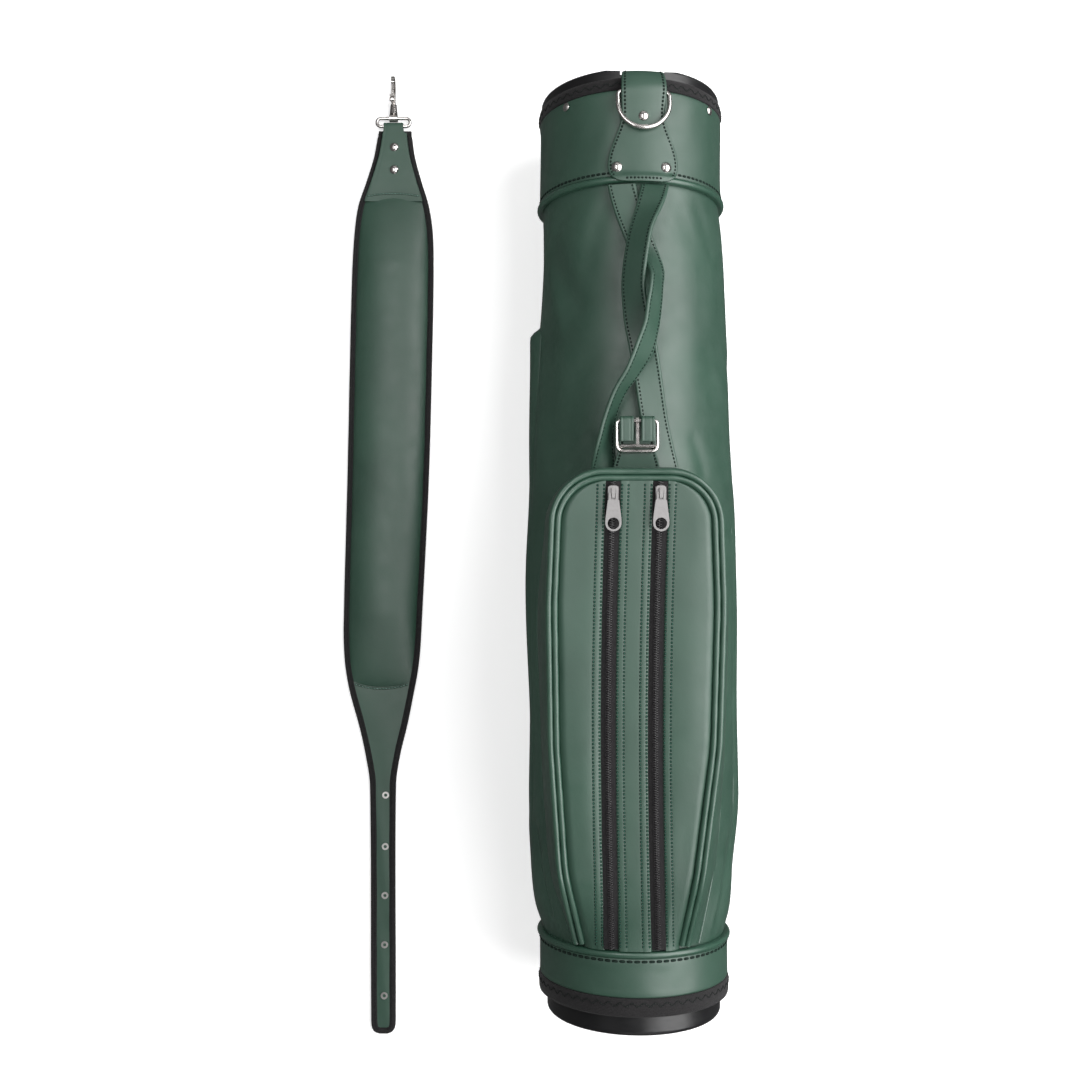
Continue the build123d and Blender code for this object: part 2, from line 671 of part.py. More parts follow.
def hook_swivel():
    """Eye round the loop's far bar, with a stem that the hook turns on."""
    y = LOOP_Y + 9.0
    eye = Pos(LOOP_X, y, LOOP_Z) * (Rot(0, 90, 0) * (Cylinder(3.9, 9.0) - Cylinder(2.1, 12)))
    stem = rod((LOOP_X, y + 3.0, LOOP_Z), (LOOP_X, y + 12.6, LOOP_Z), 1.5)
    cap = rod((LOOP_X, y + 11.2, LOOP_Z), (LOOP_X, y + 12.6, LOOP_Z), 2.6)
    return eye + stem + cap


def hook_body():
    """Tapered barrel on the swivel's stem, then a hook that curls over in an upright plane."""
    y0 = LOOP_Y + 9.0 + 4.6
    barrel = Plane(origin=(LOOP_X, y0 + 5.5, LOOP_Z), z_dir=(0, 1, 0)) * Cone(4.4, 3.4, 11.0)
    barrel = barrel - rod((LOOP_X, y0 - 1, LOOP_Z), (LOOP_X, y0 + 6.0, LOOP_Z), 1.8)
    barrel = barrel - rod((LOOP_X, y0 + 5.8, LOOP_Z), (LOOP_X, y0 + 8.6, LOOP_Z), 2.9)
    half, y1 = 1.7, y0 + 10.6
    side = FilletPolyline(
        (0, y1, -3.4), (0, y1 + 30, -3.4), (0, y1 + 30, 12.6), (0, y1 + 20.5, 12.6), (0, y1 + 20.5, 9.0),
        (0, y1 + 25.6, 9.0), (0, y1 + 25.6, 0.6), (0, y1 + 5, 0.6), (0, y1 + 5, 12.6), (0, y1, 12.6),
        radius=[0.5, 8.0, 7.0, 1.2, 1.0, 3.4, 3.4, 1.5, 1.2, 2.0], close=True,
    )
    claw = extrude(make_face(side), half, dir=(1, 0, 0), both=True)
    return barrel + Pos(LOOP_X, 0, LOOP_Z) * claw - gate_pin(y1, 1.15)


def gate_pin(y1, radius):
    return rod((LOOP_X - 4, y1 + 2.6, LOOP_Z + 10.0), (LOOP_X + 4, y1 + 2.6, LOOP_Z + 10.0), radius)


def hook_gate():
    """Spring gate that closes the hook's mouth, with its pin."""
    y1 = LOOP_Y + 9.0 + 4.6 + 10.6
    gate = block((-1.4, 1.4), (y1 + 6.0, y1 + 20.1), (9.0, 11.2))
    cheek_y, cheek_z = (y1 + 0.8, y1 + 8), (8.4, 11.8)
    cheeks = joined([block((s * 2.55 - 0.5, s * 2.55 + 0.5), cheek_y, cheek_z) for s in (-1, 1)])
    tie = block((-3.0, 3.0), (y1 + 6.0, y1 + 8), (9.0, 11.2))
    return Pos(LOOP_X, 0, LOOP_Z) * (gate + cheeks + tie) + gate_pin(y1, 1.0)


# ---- placing ----

def build_all():
    """Every piece by name, before the whole set is centred."""
    pieces = {
        "base_cup": base_cup(), "base_pad": base_pad(), "base_binding": base_binding(),
        "base_band": base_band(), "base_band_welt": base_band_welt(),
        "body_shell": body_shell(), "liner": liner(), "stay_rods": stay_rods(),
        "cuff_core": cuff_core(), "cuff_shell": cuff_shell(), "cuff_welt": cuff_welt(),
        "cuff_binding": cuff_binding(), "top_rim": top_rim(), "divider_bars": divider_bars(),
        "cuff_rivets": cuff_rivets(), "ring_tab": ring_tab(), "tab_rivets": tab_rivets(), "d_ring": d_ring(),
        "handle_strap_a": handle_strap(HANDLE_A), "handle_strap_b": handle_strap(HANDLE_B),
        "buckle_chape": buckle_chape(), "buckle_frame": buckle_frame(), "buckle_roller": buckle_roller(),
        "buckle_prong": buckle_prong(),
        "pocket_gusset": pocket_gusset(), "pocket_piping_outer": pocket_piping(0, PIPING),
        "pocket_piping_inner": pocket_piping(PIPING + 0.2, 2 * PIPING + 0.2),
    }
    slot = TAPE_WIDTH / 2 + 0.2
    pieces["pocket_panel_left"] = pocket_panel(-150, ZIP_X[0] - slot)
    pieces["pocket_panel_centre"] = pocket_panel(ZIP_X[0] + slot, ZIP_X[1] - slot)
    pieces["pocket_panel_right"] = pocket_panel(ZIP_X[1] + slot, 150)
    zips = {"left": front_zip(ZIP_X[0]), "right": front_zip(ZIP_X[1])}
    for side, spec in SIDE_POCKETS.items():
        pieces[f"side_pocket_{side}"] = side_pocket(spec)
        zips[f"side_{side}"] = side_zip(spec)
    for name, made in zips.items():
        for kind, piece in zip(("tape", "coil", "slider", "pull"), made):
            pieces[f"zip_{name}_{kind}"] = piece
    pieces.update({
        "strap_binding": strap_binding(), "strap_backing": strap_backing(),
        "strap_pad_core": strap_pad_core(), "strap_pad_face": strap_pad_face(),
        "strap_tail": strap_tail(), "strap_top_end": strap_top_end(),
        "strap_rivets": strap_rivets(), "strap_eyelets": strap_eyelets(), "strap_loop": strap_loop(),
        "hook_swivel": hook_swivel(), "hook_body": hook_body(), "hook_gate": hook_gate(),
    })
    return pieces


def place(pieces):
    """Move the set so that the origin is under its middle, on the surface."""
    boxes = [piece.bounding_box() for piece in pieces.values()]
    low = [min(tuple(box.min)[i] for box in boxes) for i in range(3)]
    high = [max(tuple(box.max)[i] for box in boxes) for i in range(3)]
    shift = (-(low[0] + high[0]) / 2, -(low[1] + high[1]) / 2, -low[2])
    size = [round(high[i] - low[i], 2) for i in range(3)]
    print("shift", [round(value, 4) for value in shift], "size", size)
    return {name: Pos(*shift) * piece for name, piece in pieces.items()}


def main():
    os.makedirs("parts", exist_ok=True)
    placed = place(build_all())
    for name, piece in placed.items():
        export_step(piece, f"parts/{name}.step")


main()
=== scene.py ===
from math import asin, copysign, cos, degrees, exp, pi, radians, sin, sqrt, tan

import bmesh
import bpy
from mathutils import Matrix, Vector


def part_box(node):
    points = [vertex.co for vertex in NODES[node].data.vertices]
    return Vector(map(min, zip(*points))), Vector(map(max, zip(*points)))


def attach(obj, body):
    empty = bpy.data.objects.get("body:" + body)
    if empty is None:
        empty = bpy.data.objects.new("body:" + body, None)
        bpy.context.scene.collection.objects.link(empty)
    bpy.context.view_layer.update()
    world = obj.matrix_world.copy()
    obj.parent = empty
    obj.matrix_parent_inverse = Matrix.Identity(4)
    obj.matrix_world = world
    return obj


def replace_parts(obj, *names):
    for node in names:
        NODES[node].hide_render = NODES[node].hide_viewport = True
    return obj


# A golf staff bag that lies on its back with its shoulder strap beside it. Sizes are in millimetres in
# "bag places": x to the right of the bag's axis, s up the bag from its base, z above the bag's axis.
# bag() turns a place into the frame's metres.

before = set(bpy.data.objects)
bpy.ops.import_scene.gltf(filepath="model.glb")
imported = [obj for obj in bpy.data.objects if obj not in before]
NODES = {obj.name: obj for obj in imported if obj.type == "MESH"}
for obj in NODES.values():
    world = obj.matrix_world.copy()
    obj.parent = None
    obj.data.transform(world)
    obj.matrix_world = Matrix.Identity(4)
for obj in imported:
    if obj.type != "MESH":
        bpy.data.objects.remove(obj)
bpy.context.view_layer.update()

MM = 0.001
cuff_low, cuff_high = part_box("cuff_shell")
AXIS_X, AXIS_Z = (cuff_low.x + cuff_high.x) / 2, (cuff_low.z + cuff_high.z) / 2
BASE_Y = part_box("base_cup")[0].y
CUFF_R = (cuff_high.x - cuff_low.x) / 2 / MM
FLOOR = -AXIS_Z / MM
RIGHT, UP = Vector((1, 0, 0)), Vector((0, 0, 1))
LEATHER = 3.0  # thickness
TAB_TURN = 3.6  # how far the ring's tab is turned from the top line, in degrees


def ends_of(node_name):
    """Lower and upper end of a CAD node, up the bag from its base."""
    return [(corner.y - BASE_Y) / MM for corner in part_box(node_name)]


CUFF_LOW, CUFF_TOP = ends_of("cuff_shell")
BAND_LOW, BAND_TOP = ends_of("base_band")


def bag(x, s, z):
    return Vector((AXIS_X + x * MM, BASE_Y + s * MM, AXIS_Z + z * MM))


def polar(turn, r, s):
    """A place at radius r, turned from the top line towards the right by turn degrees."""
    return bag(r * sin(radians(turn)), s, r * cos(radians(turn)))


def outward(turn):
    return Vector((sin(radians(turn)), 0, cos(radians(turn))))


def floor_r(turn):
    """Radius at which the floor is met, which only counts near the underside."""
    return -FLOOR / max(cos(radians(180 - abs(turn))), 0.2) if abs(turn) > 110 else 1e9


# ---- numbers along a line ----

def clamp(t):
    return max(0.0, min(1.0, t))


def ease(t):
    t = clamp(t)
    return t * t * (3 - 2 * t)


def through(table, at, column=1):
    """A smooth curve through a table's rows, which are sorted by their first column."""
    if at <= table[0][0]:
        return table[0][column]
    if at >= table[-1][0]:
        return table[-1][column]
    i = next(k for k in range(len(table) - 1) if at <= table[k + 1][0])

    def slope(k):
        low, high = max(k - 1, 0), min(k + 1, len(table) - 1)
        return (table[high][column] - table[low][column]) / (table[high][0] - table[low][0])

    x0, x1 = table[i][0], table[i + 1][0]
    y0, y1 = table[i][column], table[i + 1][column]
    span = x1 - x0
    t = (at - x0) / span
    m0, m1 = slope(i) * span, slope(i + 1) * span
    return ((2 * t**3 - 3 * t**2 + 1) * y0 + (t**3 - 2 * t**2 + t) * m0
            + (3 * t**2 - 2 * t**3) * y1 + (t**3 - t**2) * m1)


def steps(low, high, count):
    return [low + (high - low) * i / count for i in range(count + 1)]


def rounded_path(points, radii):
    """A flat open path through points whose corners are rounded, as closely spaced (x, s) pairs."""
    pitch, path = 4.0, [Vector(points[0])]
    for i in range(1, len(points) - 1):
        before, corner, after = (Vector(points[k]) for k in (i - 1, i, i + 1))
        a, b = (before - corner).normalized(), (after - corner).normalized()
        half = a.angle(b) / 2
        reach = radii[i] / tan(half)
        centre = corner + (a + b).normalized() * (radii[i] / sin(half))
        start, end = corner + a * reach - centre, corner + b * reach - centre
        turn = pi - 2 * half
        count = max(3, int(radii[i] * turn / pitch) + 1)
        side = 1 if start.x * end.y - start.y * end.x > 0 else -1
        for t in steps(0, turn, count):
            c, n = cos(side * t), sin(side * t)
            path.append(centre + Vector((start.x * c - start.y * n, start.x * n + start.y * c)))
    path.append(Vector(points[-1]))
    dense = [path[0]]
    for p, q in zip(path, path[1:]):
        count = max(1, int((q - p).length / pitch))
        dense += [p.lerp(q, k / count) for k in range(1, count + 1)]
    return [p for i, p in enumerate(dense) if i == 0 or (p - dense[i - 1]).length > 0.05]


def heading(path, i, closed=False):
    """Direction of a path of vectors at its point i."""
    if closed:
        return (path[(i + 1) % len(path)] - path[i - 1]).normalized()
    return (path[min(i + 1, len(path) - 1)] - path[max(i - 1, 0)]).normalized()


def rise(path, i):
    """Direction in space of a path of (height up the bag, height above it) pairs at its point i."""
    before, after = path[max(i - 1, 0)], path[min(i + 1, len(path) - 1)]
    return Vector((0, after[0] - before[0], after[1] - before[1])).normalized()


def arch(t):
    """1 at the middle of the way from 0 to 1, and 0 at both ends."""
    return 1 - (2 * t - 1) ** 2


def cosine_steps(count):
    """From 0 to 1, closer together at both ends."""
    return [0.5 - 0.5 * cos(pi * t) for t in steps(0, 1, count)]


def layer(pairs):
    """A closed section from pairs of points on its outside and its inside."""
    return [outer for outer, _ in pairs] + [inner for _, inner in reversed(pairs)]


def bead(middle, across, r, count):
    """A round section of radius r that stands upright."""
    turns = steps(0, 2 * pi, count)[:-1]
    return [middle + across * (r * MM * cos(a)) + UP * (r * MM * sin(a)) for a in turns]


def shifted(path, inset, closed=False):
    """The path moved sideways to the right of its direction."""
    moved = []
    for i, p in enumerate(path):
        along = heading(path, i, closed)
        moved.append(p + Vector((along.y, -along.x)) * inset)
    return moved


# ---- meshes ----

def finish_mesh(name, verts, faces, materials, body, crease=50, uvs=None, replaces=()):
    """A visible piece."""
    mesh = bpy.data.meshes.new(name)
    mesh.from_pydata(verts, [], faces)
    if uvs:
        layer = mesh.uv_layers.new(name="real_size")
        for loop, uv in zip(layer.data, uvs):
            loop.uv = uv
    work = bmesh.new()
    work.from_mesh(mesh)
    bmesh.ops.recalc_face_normals(work, faces=work.faces)
    work.to_mesh(mesh)
    work.free()
    mesh.shade_smooth()
    mesh.set_sharp_from_angle(angle=radians(crease))
    piece = bpy.data.objects.new(name, mesh)
    bpy.context.scene.collection.objects.link(piece)
    for material in materials:
        mesh.materials.append(material)
    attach(piece, body)
    if replaces:
        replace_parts(piece, *replaces)
    return piece


def loft(name, sections, material, replaces=(), body="bag", ring=False, crease=60):
    """A closed skin over closed sections: open-ended with caps, or a ring."""
    n, m = len(sections[0]), len(sections)
    verts = [p for section in sections for p in section]
    faces, uvs = [], []
    girth, run = [0.0], [0.0]
    middle = sections[m // 2]
    for j in range(n):
        girth.append(girth[-1] + (middle[(j + 1) % n] - middle[j]).length)
    for i in range(m):
        run.append(run[-1] + (sections[(i + 1) % m][0] - sections[i][0]).length)
    for i in range(m if ring else m - 1):
        a, b = i * n, (i + 1) % m * n
        for j in range(n):
            k = (j + 1) % n
            faces.append((a + j, a + k, b + k, b + j))
            uvs += [(girth[g], run[h]) for g, h in ((j, i), (j + 1, i), (j + 1, i + 1), (j, i + 1))]
    if not ring:
        for end in (range(n - 1, -1, -1), range((m - 1) * n, m * n)):
            faces.append(tuple(end))
            uvs += [(0, 0)] * n
    return finish_mesh(name, verts, faces, [material], body, crease, uvs, replaces)


class Bits:
    """Many small closed shapes that make one piece, such as a seam's stitches."""

    def __init__(self):
        self.verts, self.faces, self.kinds = [], [], []

    def capsule(self, centre, along, up, length, width, height, kind=0):
        """One rounded rod. Its kind says which of the piece's materials it has."""
        across = along.cross(up).normalized()
        start, sides = len(self.verts), 6
        for share, girth in ((-0.5, 0.35), (-0.36, 0.9), (0, 1.0), (0.36, 0.9), (0.5, 0.35)):
            for k in range(sides):
                a = 2 * pi * k / sides
                offset = across * (cos(a) * width / 2) + up * (sin(a) * height / 2)
                self.verts.append(centre + along * (share * length) + offset * girth)
        for ring in range(4):
            for k in range(sides):
                a, b = start + ring * sides, start + (ring + 1) * sides
                self.faces.append((a + k, a + (k + 1) % sides, b + (k + 1) % sides, b + k))
                self.kinds.append(kind)
        self.faces.append(tuple(range(start + sides - 1, start - 1, -1)))
        self.faces.append(tuple(range(start + 4 * sides, start + 5 * sides)))
        self.kinds += [kind, kind]

    def piece(self, name, materials, body="bag"):
        made = finish_mesh(name, self.verts, self.faces, materials, body)
        for face, kind in zip(made.data.polygons, self.kinds):
            face.material_index = kind
        return made


def walk(track, pitch, margin=0.0):
    """Evenly spaced (point, direction, normal) along a track of (point, normal) pairs."""
    lengths = [0.0]
    for (p, _), (q, _) in zip(track, track[1:]):
        lengths.append(lengths[-1] + (q - p).length)
    count = max(1, int((lengths[-1] - 2 * margin) / pitch))
    spots, i = [], 0
    for k in range(count):
        at = margin + (k + 0.5) * (lengths[-1] - 2 * margin) / count
        while lengths[i + 1] < at:
            i += 1
        t = (at - lengths[i]) / (lengths[i + 1] - lengths[i])
        point = track[i][0].lerp(track[i + 1][0], t)
        normal = track[i][1].lerp(track[i + 1][1], t).normalized()
        along = (track[i + 1][0] - track[i][0]).normalized()
        spots.append((point, along, (normal - along * normal.dot(along)).normalized()))
    return spots


def sew(bits, track, seam, margin=0.0):
    """A row of stitches: each thread lies on a wider near-black capsule, painted shade for its pricked slit.
    """
    pitch, thread, share = seam
    for point, along, up in walk(track, pitch * MM, margin * MM):
        length = pitch * share * MM
        # The wider near-black capsule under the thread is painted shade of the needle hole
        bits.capsule(point, along, up, length * 1.35, thread * 2.0 * MM, 0.7 * MM, 1)
        bits.capsule(point + up * 0.2 * MM, along, up, length * 0.9, thread * MM, thread * 0.8 * MM, 0)


# ---- materials ----

def nodes_of(name, settings):
    """A new material, its node tree and its shader with plain settings."""
    material = bpy.data.materials.new(name)
    material.use_nodes = True
    shader = material.node_tree.nodes["Principled BSDF"]
    for socket, value in settings.items():
        shader.inputs[socket].default_value = value
    return material, material.node_tree, shader


def noise(tree, coordinates, scale, detail=3.0, stretch=None):
    node = tree.nodes.new("ShaderNodeTexNoise")
    node.inputs["Scale"].default_value = scale
    node.inputs["Detail"].default_value = detail
    if stretch:
        mapping = tree.nodes.new("ShaderNodeMapping")
        mapping.inputs["Scale"].default_value = stretch
        tree.links.new(coordinates, mapping.inputs["Vector"])
        coordinates = mapping.outputs["Vector"]
    tree.links.new(coordinates, node.inputs["Vector"])
    return node.outputs["Fac"]


def span(tree, value, low, high):
    node = tree.nodes.new("ShaderNodeMapRange")
    node.inputs["From Min"].default_value, node.inputs["From Max"].default_value = 0.3, 0.7
    node.inputs["To Min"].default_value, node.inputs["To Max"].default_value = low, high
    tree.links.new(value, node.inputs["Value"])
    return node.outputs["Result"]


def tone(tree, shader, value, dark, light):
    """Base colour that runs from dark to light with a value."""
    node = tree.nodes.new("ShaderNodeMix")
    node.data_type = "RGBA"
    node.inputs["A"].default_value, node.inputs["B"].default_value = (*dark, 1), (*light, 1)
    tree.links.new(span(tree, value, 0, 1), node.inputs["Factor"])
    tree.links.new(node.outputs["Result"], shader.inputs["Base Color"])


def bump(tree, shader, layers):
    """Stack height layers of (value, distance in metres, strength)."""
    last = None
    for value, distance, strength in layers:
        node = tree.nodes.new("ShaderNodeBump")
        node.inputs["Distance"].default_value = distance
        node.inputs["Strength"].default_value = strength
        tree.links.new(value, node.inputs["Height"])
        if last:
            tree.links.new(last, node.inputs["Normal"])
        last = node.outputs["Normal"]
    tree.links.new(last, shader.inputs["Normal"])


def places(tree, kind="Object"):
    return tree.nodes.new("ShaderNodeTexCoord").outputs[kind]


def leather(name, dark, light, rough=(0.43, 0.53)):
    """Smooth coated leather: fine pebble grain, cloudy tone, slightly uneven gloss."""
    material, tree, shader = nodes_of(name, {"Specular IOR Level": 0.75})
    where = places(tree)
    tone(tree, shader, noise(tree, where, 14, 4), dark, light)
    tree.links.new(span(tree, noise(tree, where, 55, 5), *rough), shader.inputs["Roughness"])
    grain = tree.nodes.new("ShaderNodeTexVoronoi")
    grain.feature = "DISTANCE_TO_EDGE"
    grain.inputs["Scale"].default_value = 1100
    tree.links.new(where, grain.inputs["Vector"])
    bump(tree, shader, [
        (noise(tree, where, 38, 3), 0.0009, 0.35), (noise(tree, where, 420, 4), 0.0001, 0.4),
        (grain.outputs["Distance"], 0.00006, 0.5),
    ])
    return material


def weave(name, dark, light, threads=900.0):
    """Woven tape: crossed threads that follow the piece's own length and girth."""
    settings = {"Roughness": 0.82, "Specular IOR Level": 0.25, "Sheen Weight": 0.05, "Sheen Roughness": 0.5}
    material, tree, shader = nodes_of(name, settings)
    uv = places(tree, "UV")
    crossed = tree.nodes.new("ShaderNodeMath")
    crossed.operation = "MULTIPLY"
    for i, direction in enumerate(("X", "Y")):
        wave = tree.nodes.new("ShaderNodeTexWave")
        wave.bands_direction = direction
        wave.inputs["Scale"].default_value = threads / 3.1
        wave.inputs["Distortion"].default_value = 0.6
        tree.links.new(uv, wave.inputs["Vector"])
        tree.links.new(wave.outputs["Fac"], crossed.inputs[i])
    fuzz = noise(tree, places(tree), 900, 4)
    tone(tree, shader, fuzz, dark, light)
    bump(tree, shader, [(crossed.outputs[0], 0.00035, 0.7), (fuzz, 0.0001, 0.6)])
    return material


def fabric(name, dark, light):
    material, tree, shader = nodes_of(name, {"Roughness": 0.85})
    where = places(tree)
    fine = noise(tree, where, 1300, 3, (1, 0.35, 1))
    tone(tree, shader, noise(tree, where, 60, 4), dark, light)
    bump(tree, shader, [(noise(tree, where, 45, 3), 0.001, 0.3), (fine, 0.0002, 0.7)])
    return material


def plastic(name, colour, rough):
    material, tree, shader = nodes_of(name, {})
    where = places(tree)
    tone(tree, shader, noise(tree, where, 30, 5), colour, tuple(c * 1.7 for c in colour))
    tree.links.new(span(tree, noise(tree, where, 90, 6, (1, 6, 1)), *rough), shader.inputs["Roughness"])
    fine, soft = noise(tree, where, 1600, 2), noise(tree, where, 25, 2)
    bump(tree, shader, [(fine, 0.00004, 0.6), (soft, 0.0005, 0.25)])
    return material


def metal(name, colour, rough):
    """Plated metal with faint handling marks."""
    material, tree, shader = nodes_of(name, {"Metallic": 1.0})
    where = places(tree)
    worn = noise(tree, where, 160, 6)
    tone(tree, shader, worn, colour, tuple(c * 0.8 for c in colour))
    tree.links.new(span(tree, worn, *rough), shader.inputs["Roughness"])
    bump(tree, shader, [(noise(tree, where, 700, 3, (1, 0.2, 1)), 0.00003, 0.4)])
    return material


def thread(name, dark, light):
    material, tree, shader = nodes_of(name, {"Roughness": 0.8, "Specular IOR Level": 0.2})
    where = places(tree)
    tone(tree, shader, noise(tree, where, 400, 2), dark, light)
    bump(tree, shader, [(noise(tree, where, 2600, 2), 0.00008, 0.7)])
    return material


GREEN = leather("green_leather", (0.014, 0.046, 0.029), (0.020, 0.059, 0.038))
GREEN_PIPING = leather("green_piping", (0.016, 0.052, 0.033), (0.023, 0.065, 0.042), (0.32, 0.42))
WEBBING = weave("black_webbing", (0.006, 0.0055, 0.006), (0.017, 0.016, 0.017))
ZIP_TAPE = weave("zip_tape", (0.005, 0.0045, 0.005), (0.013, 0.012, 0.013), 1500)
LINING = fabric("lining_fabric", (0.016, 0.02, 0.018), (0.03, 0.036, 0.033))
BACKING = fabric("strap_backing", (0.012, 0.012, 0.013), (0.026, 0.026, 0.028))
PLASTIC = plastic("black_plastic", (0.004, 0.004, 0.0045), (0.28, 0.4))
COIL = plastic("zip_coil", (0.02, 0.019, 0.02), (0.22, 0.34))
CHROME = metal("bright_metal", (0.68, 0.65, 0.63), (0.16, 0.3))
SATIN = metal("satin_metal", (0.74, 0.72, 0.7), (0.3, 0.44))
PULL_METAL = metal("pull_metal", (0.34, 0.33, 0.33), (0.34, 0.48))
STEEL = metal("rod_steel", (0.42, 0.43, 0.45), (0.3, 0.5))
THREAD = thread("green_thread", (0.012, 0.060, 0.040), (0.022, 0.088, 0.060))
# Dark green thread, darkened further as painted shade of the holes and grooves these stitches sit in
SHADE_DARKENED_THREAD = thread("shade_darkened_green_thread", (0.003, 0.012, 0.008), (0.007, 0.024, 0.016))
PALE_THREAD = thread("pale_thread", (0.13, 0.24, 0.19), (0.2, 0.33, 0.27))
BLACK_THREAD = thread("black_thread", (0.012, 0.011, 0.012), (0.03, 0.028, 0.03))
# Near-black material for the capsules under every stitch: painted shade of the needle holes
HOLE_SHADE = thread("painted_hole_shade", (0.001, 0.003, 0.002), (0.003, 0.008, 0.006))
# Each stitch set pairs a thread with the near-black painted hole shade
STITCH, SHADE_DARKENED_STITCH = [THREAD, HOLE_SHADE], [SHADE_DARKENED_THREAD, HOLE_SHADE]
PALE_STITCH, BLACK_STITCH = [PALE_THREAD, HOLE_SHADE], [BLACK_THREAD, HOLE_SHADE]

# Seams: pitch in millimetres, thickness of the thread, share of the pitch that shows thread
PANEL_SEAM, TAB_SEAM, STRIP_SEAM = (3.4, 1.1, 0.5), (3.5, 1.15, 0.5), (3.6, 1.2, 0.5)
CUFF_SEAM, BAND_SEAM, ZIGZAG_SEAM = (5.4, 1.25, 0.6), (6.9, 1.3, 0.6), (2.6, 0.7, 0.9)
CHAPE_SEAM, LOBE_SEAM = (3.0, 1.2, 0.5), (2.9, 0.95, 0.55)
PAD_SEAM, STRAP_EDGE_SEAM = (3.2, 1.1, 0.66), (3.2, 0.6, 0.6)

CAD_FINISHES = {
    "base_cup": PLASTIC, "base_pad": LINING, "stay_rods": STEEL, "cuff_core": LINING, "top_rim": PLASTIC,
    "strap_eyelets": SATIN,
}
for node_name, node in NODES.items():
    node.data.materials.clear()
    plated = PULL_METAL if node_name.endswith(("_pull", "_slider")) else CHROME
    node.data.materials.append(CAD_FINISHES.get(node_name, plated))


# ---- body tube ----

BODY_LOW, BODY_TOP = 80.0, 806.0
BODY_R = ((80, 90.2), (190, 91.4), (400, 92.0), (620, 91.0), (806, 90.2))

# How far the soft leather swells out at each side over the side pockets and the stays, by height
SWELL = {
    -1: ((80, 0), (104, 8), (134, 11.5), (170, 12), (204, 10.5), (304, 11.5), (385, 14), (460, 14),
         (528, 11.5), (590, 8.5), (640, 5.0), (690, 2.5), (740, 1.2), (806, 0)),
    1: ((80, 0), (104, 6), (154, 8), (204, 10), (304, 11), (385, 12), (467, 12.5), (528, 11.5), (590, 8.8),
        (640, 8.2), (673, 7.8), (715, 6.6), (778, 3.6), (806, 0)),
}

# Seam where the front pocket's wall meets the body: height, turn from the top line
SEAM = {
    -1: ((80, -42), (110, -50), (150, -60), (200, -67), (300, -72), (430, -74), (520, -72)),
    1: ((80, 38), (110, 44), (150, 52), (200, 58), (300, 62), (430, 65), (520, 65)),
}

# Soft folds in the leather: turn and height of both ends, half width, height of the fold (negative: a dent)
FOLDS = (
    (-62, 752, -40, 690, 13, -2.2), (-66, 735, -52, 668, 8, 1.3), (-74, 700, -60, 560, 15, -1.8),
    (-34, 640, -52, 560, 17, -1.3), (-20, 790, -32, 735, 11, -1.1), (-45, 795, -60, 770, 9, -1.2),
    (42, 792, 55, 755, 10, -1.1), (24, 795, 36, 760, 12, -0.9), (52, 640, 66, 545, 14, -1.5),
    (38, 560, 46, 530, 8, -1.4), (-30, 556, -44, 535, 9, -1.8), (70, 720, 62, 600, 16, -1.2),
    (110, 760, 135, 640, 16, -1.6), (-120, 740, -140, 600, 18, -1.7), (160, 700, 175, 500, 20, -1.2),
    (86, 640, 96, 570, 10, -1.4), (-96, 790, -84, 700, 14, -1.5), (-62, 106, -78, 180, 5, -3.0),
    (-54, 92, -70, 150, 4, 1.6), (56, 92, 74, 168, 8, -2.0), (50, 90, 60, 128, 3.5, 1.2),
)


def fold_height(turn, s):
    total, middle_r = 0.0, 92
    for turn_a, s_a, turn_b, s_b, width, height in FOLDS:
        ax, bx, px = (radians(one) * middle_r for one in (turn_a, turn_b, turn))
        if abs(px - (ax + bx) / 2) > 90 or abs(s - (s_a + s_b) / 2) > 170:
            continue
        length = (bx - ax) ** 2 + (s_b - s_a) ** 2
        t = clamp(((px - ax) * (bx - ax) + (s - s_a) * (s_b - s_a)) / length)
        away = (px - ax - t * (bx - ax)) ** 2 + (s - s_a - t * (s_b - s_a)) ** 2
        total += height * exp(-away / width**2)
    return total


def body_r(turn, s):
    turn = (turn + 180) % 360 - 180
    side = -1 if turn < 0 else 1
    near = abs(through(SEAM[side], s)) - 14 if s < 470 else 42 + 18 * ease((520 - s) / 50)
    bulge = through(SWELL[side], s) * ease((abs(turn) - near) / (88 - near)) * ease((138 - abs(turn)) / 40)
    ends = ease((s - BODY_LOW) / 22) * ease((808 - s) / 26)
    soft = 0.35 * sin(s / 37 + turn / 23) + 0.25 * sin(s / 19 - turn / 11 + 1.7)
    return through(BODY_R, s) + bulge + ends * (fold_height(turn, s) + soft)


def body_leather():
    outside = [BAND_LOW + 0.3, 60, 76] + steps(BODY_LOW, BODY_TOP, 170) + [818, 830]
    inside = [830, 808] + steps(790, BODY_LOW, 40) + [BAND_LOW + 0.3]
    sections = []
    for turn in steps(-180, 180, 300)[:-1]:
        section = []
        for heights, inset in ((outside, 0), (inside, LEATHER)):
            for s in heights:
                section.append(polar(turn, body_r(turn, min(max(s, BODY_LOW), BODY_TOP)) - inset, s))
        sections.append(section)
    loft("body_leather", sections, GREEN, ["body_shell"], ring=True, crease=50)


def liner():
    sections, heights, most = [], steps(BODY_LOW, 791, 30), 93
    for turn in steps(-180, 180, 120)[:-1]:
        pleat = 0.35 * sin(radians(turn) * 24)
        profile = [(86.4, 63)]
        profile += [(min(body_r(turn, s), most) - LEATHER - 0.6 + pleat, s) for s in heights]
        inside = [(r - 1, s) for r, s in reversed(profile)]
        sections.append([polar(turn, r, s) for r, s in profile + inside])
    loft("inner_liner", sections, LINING, ["liner"], ring=True, crease=50)


# ---- cuff, band, welts and bindings ----

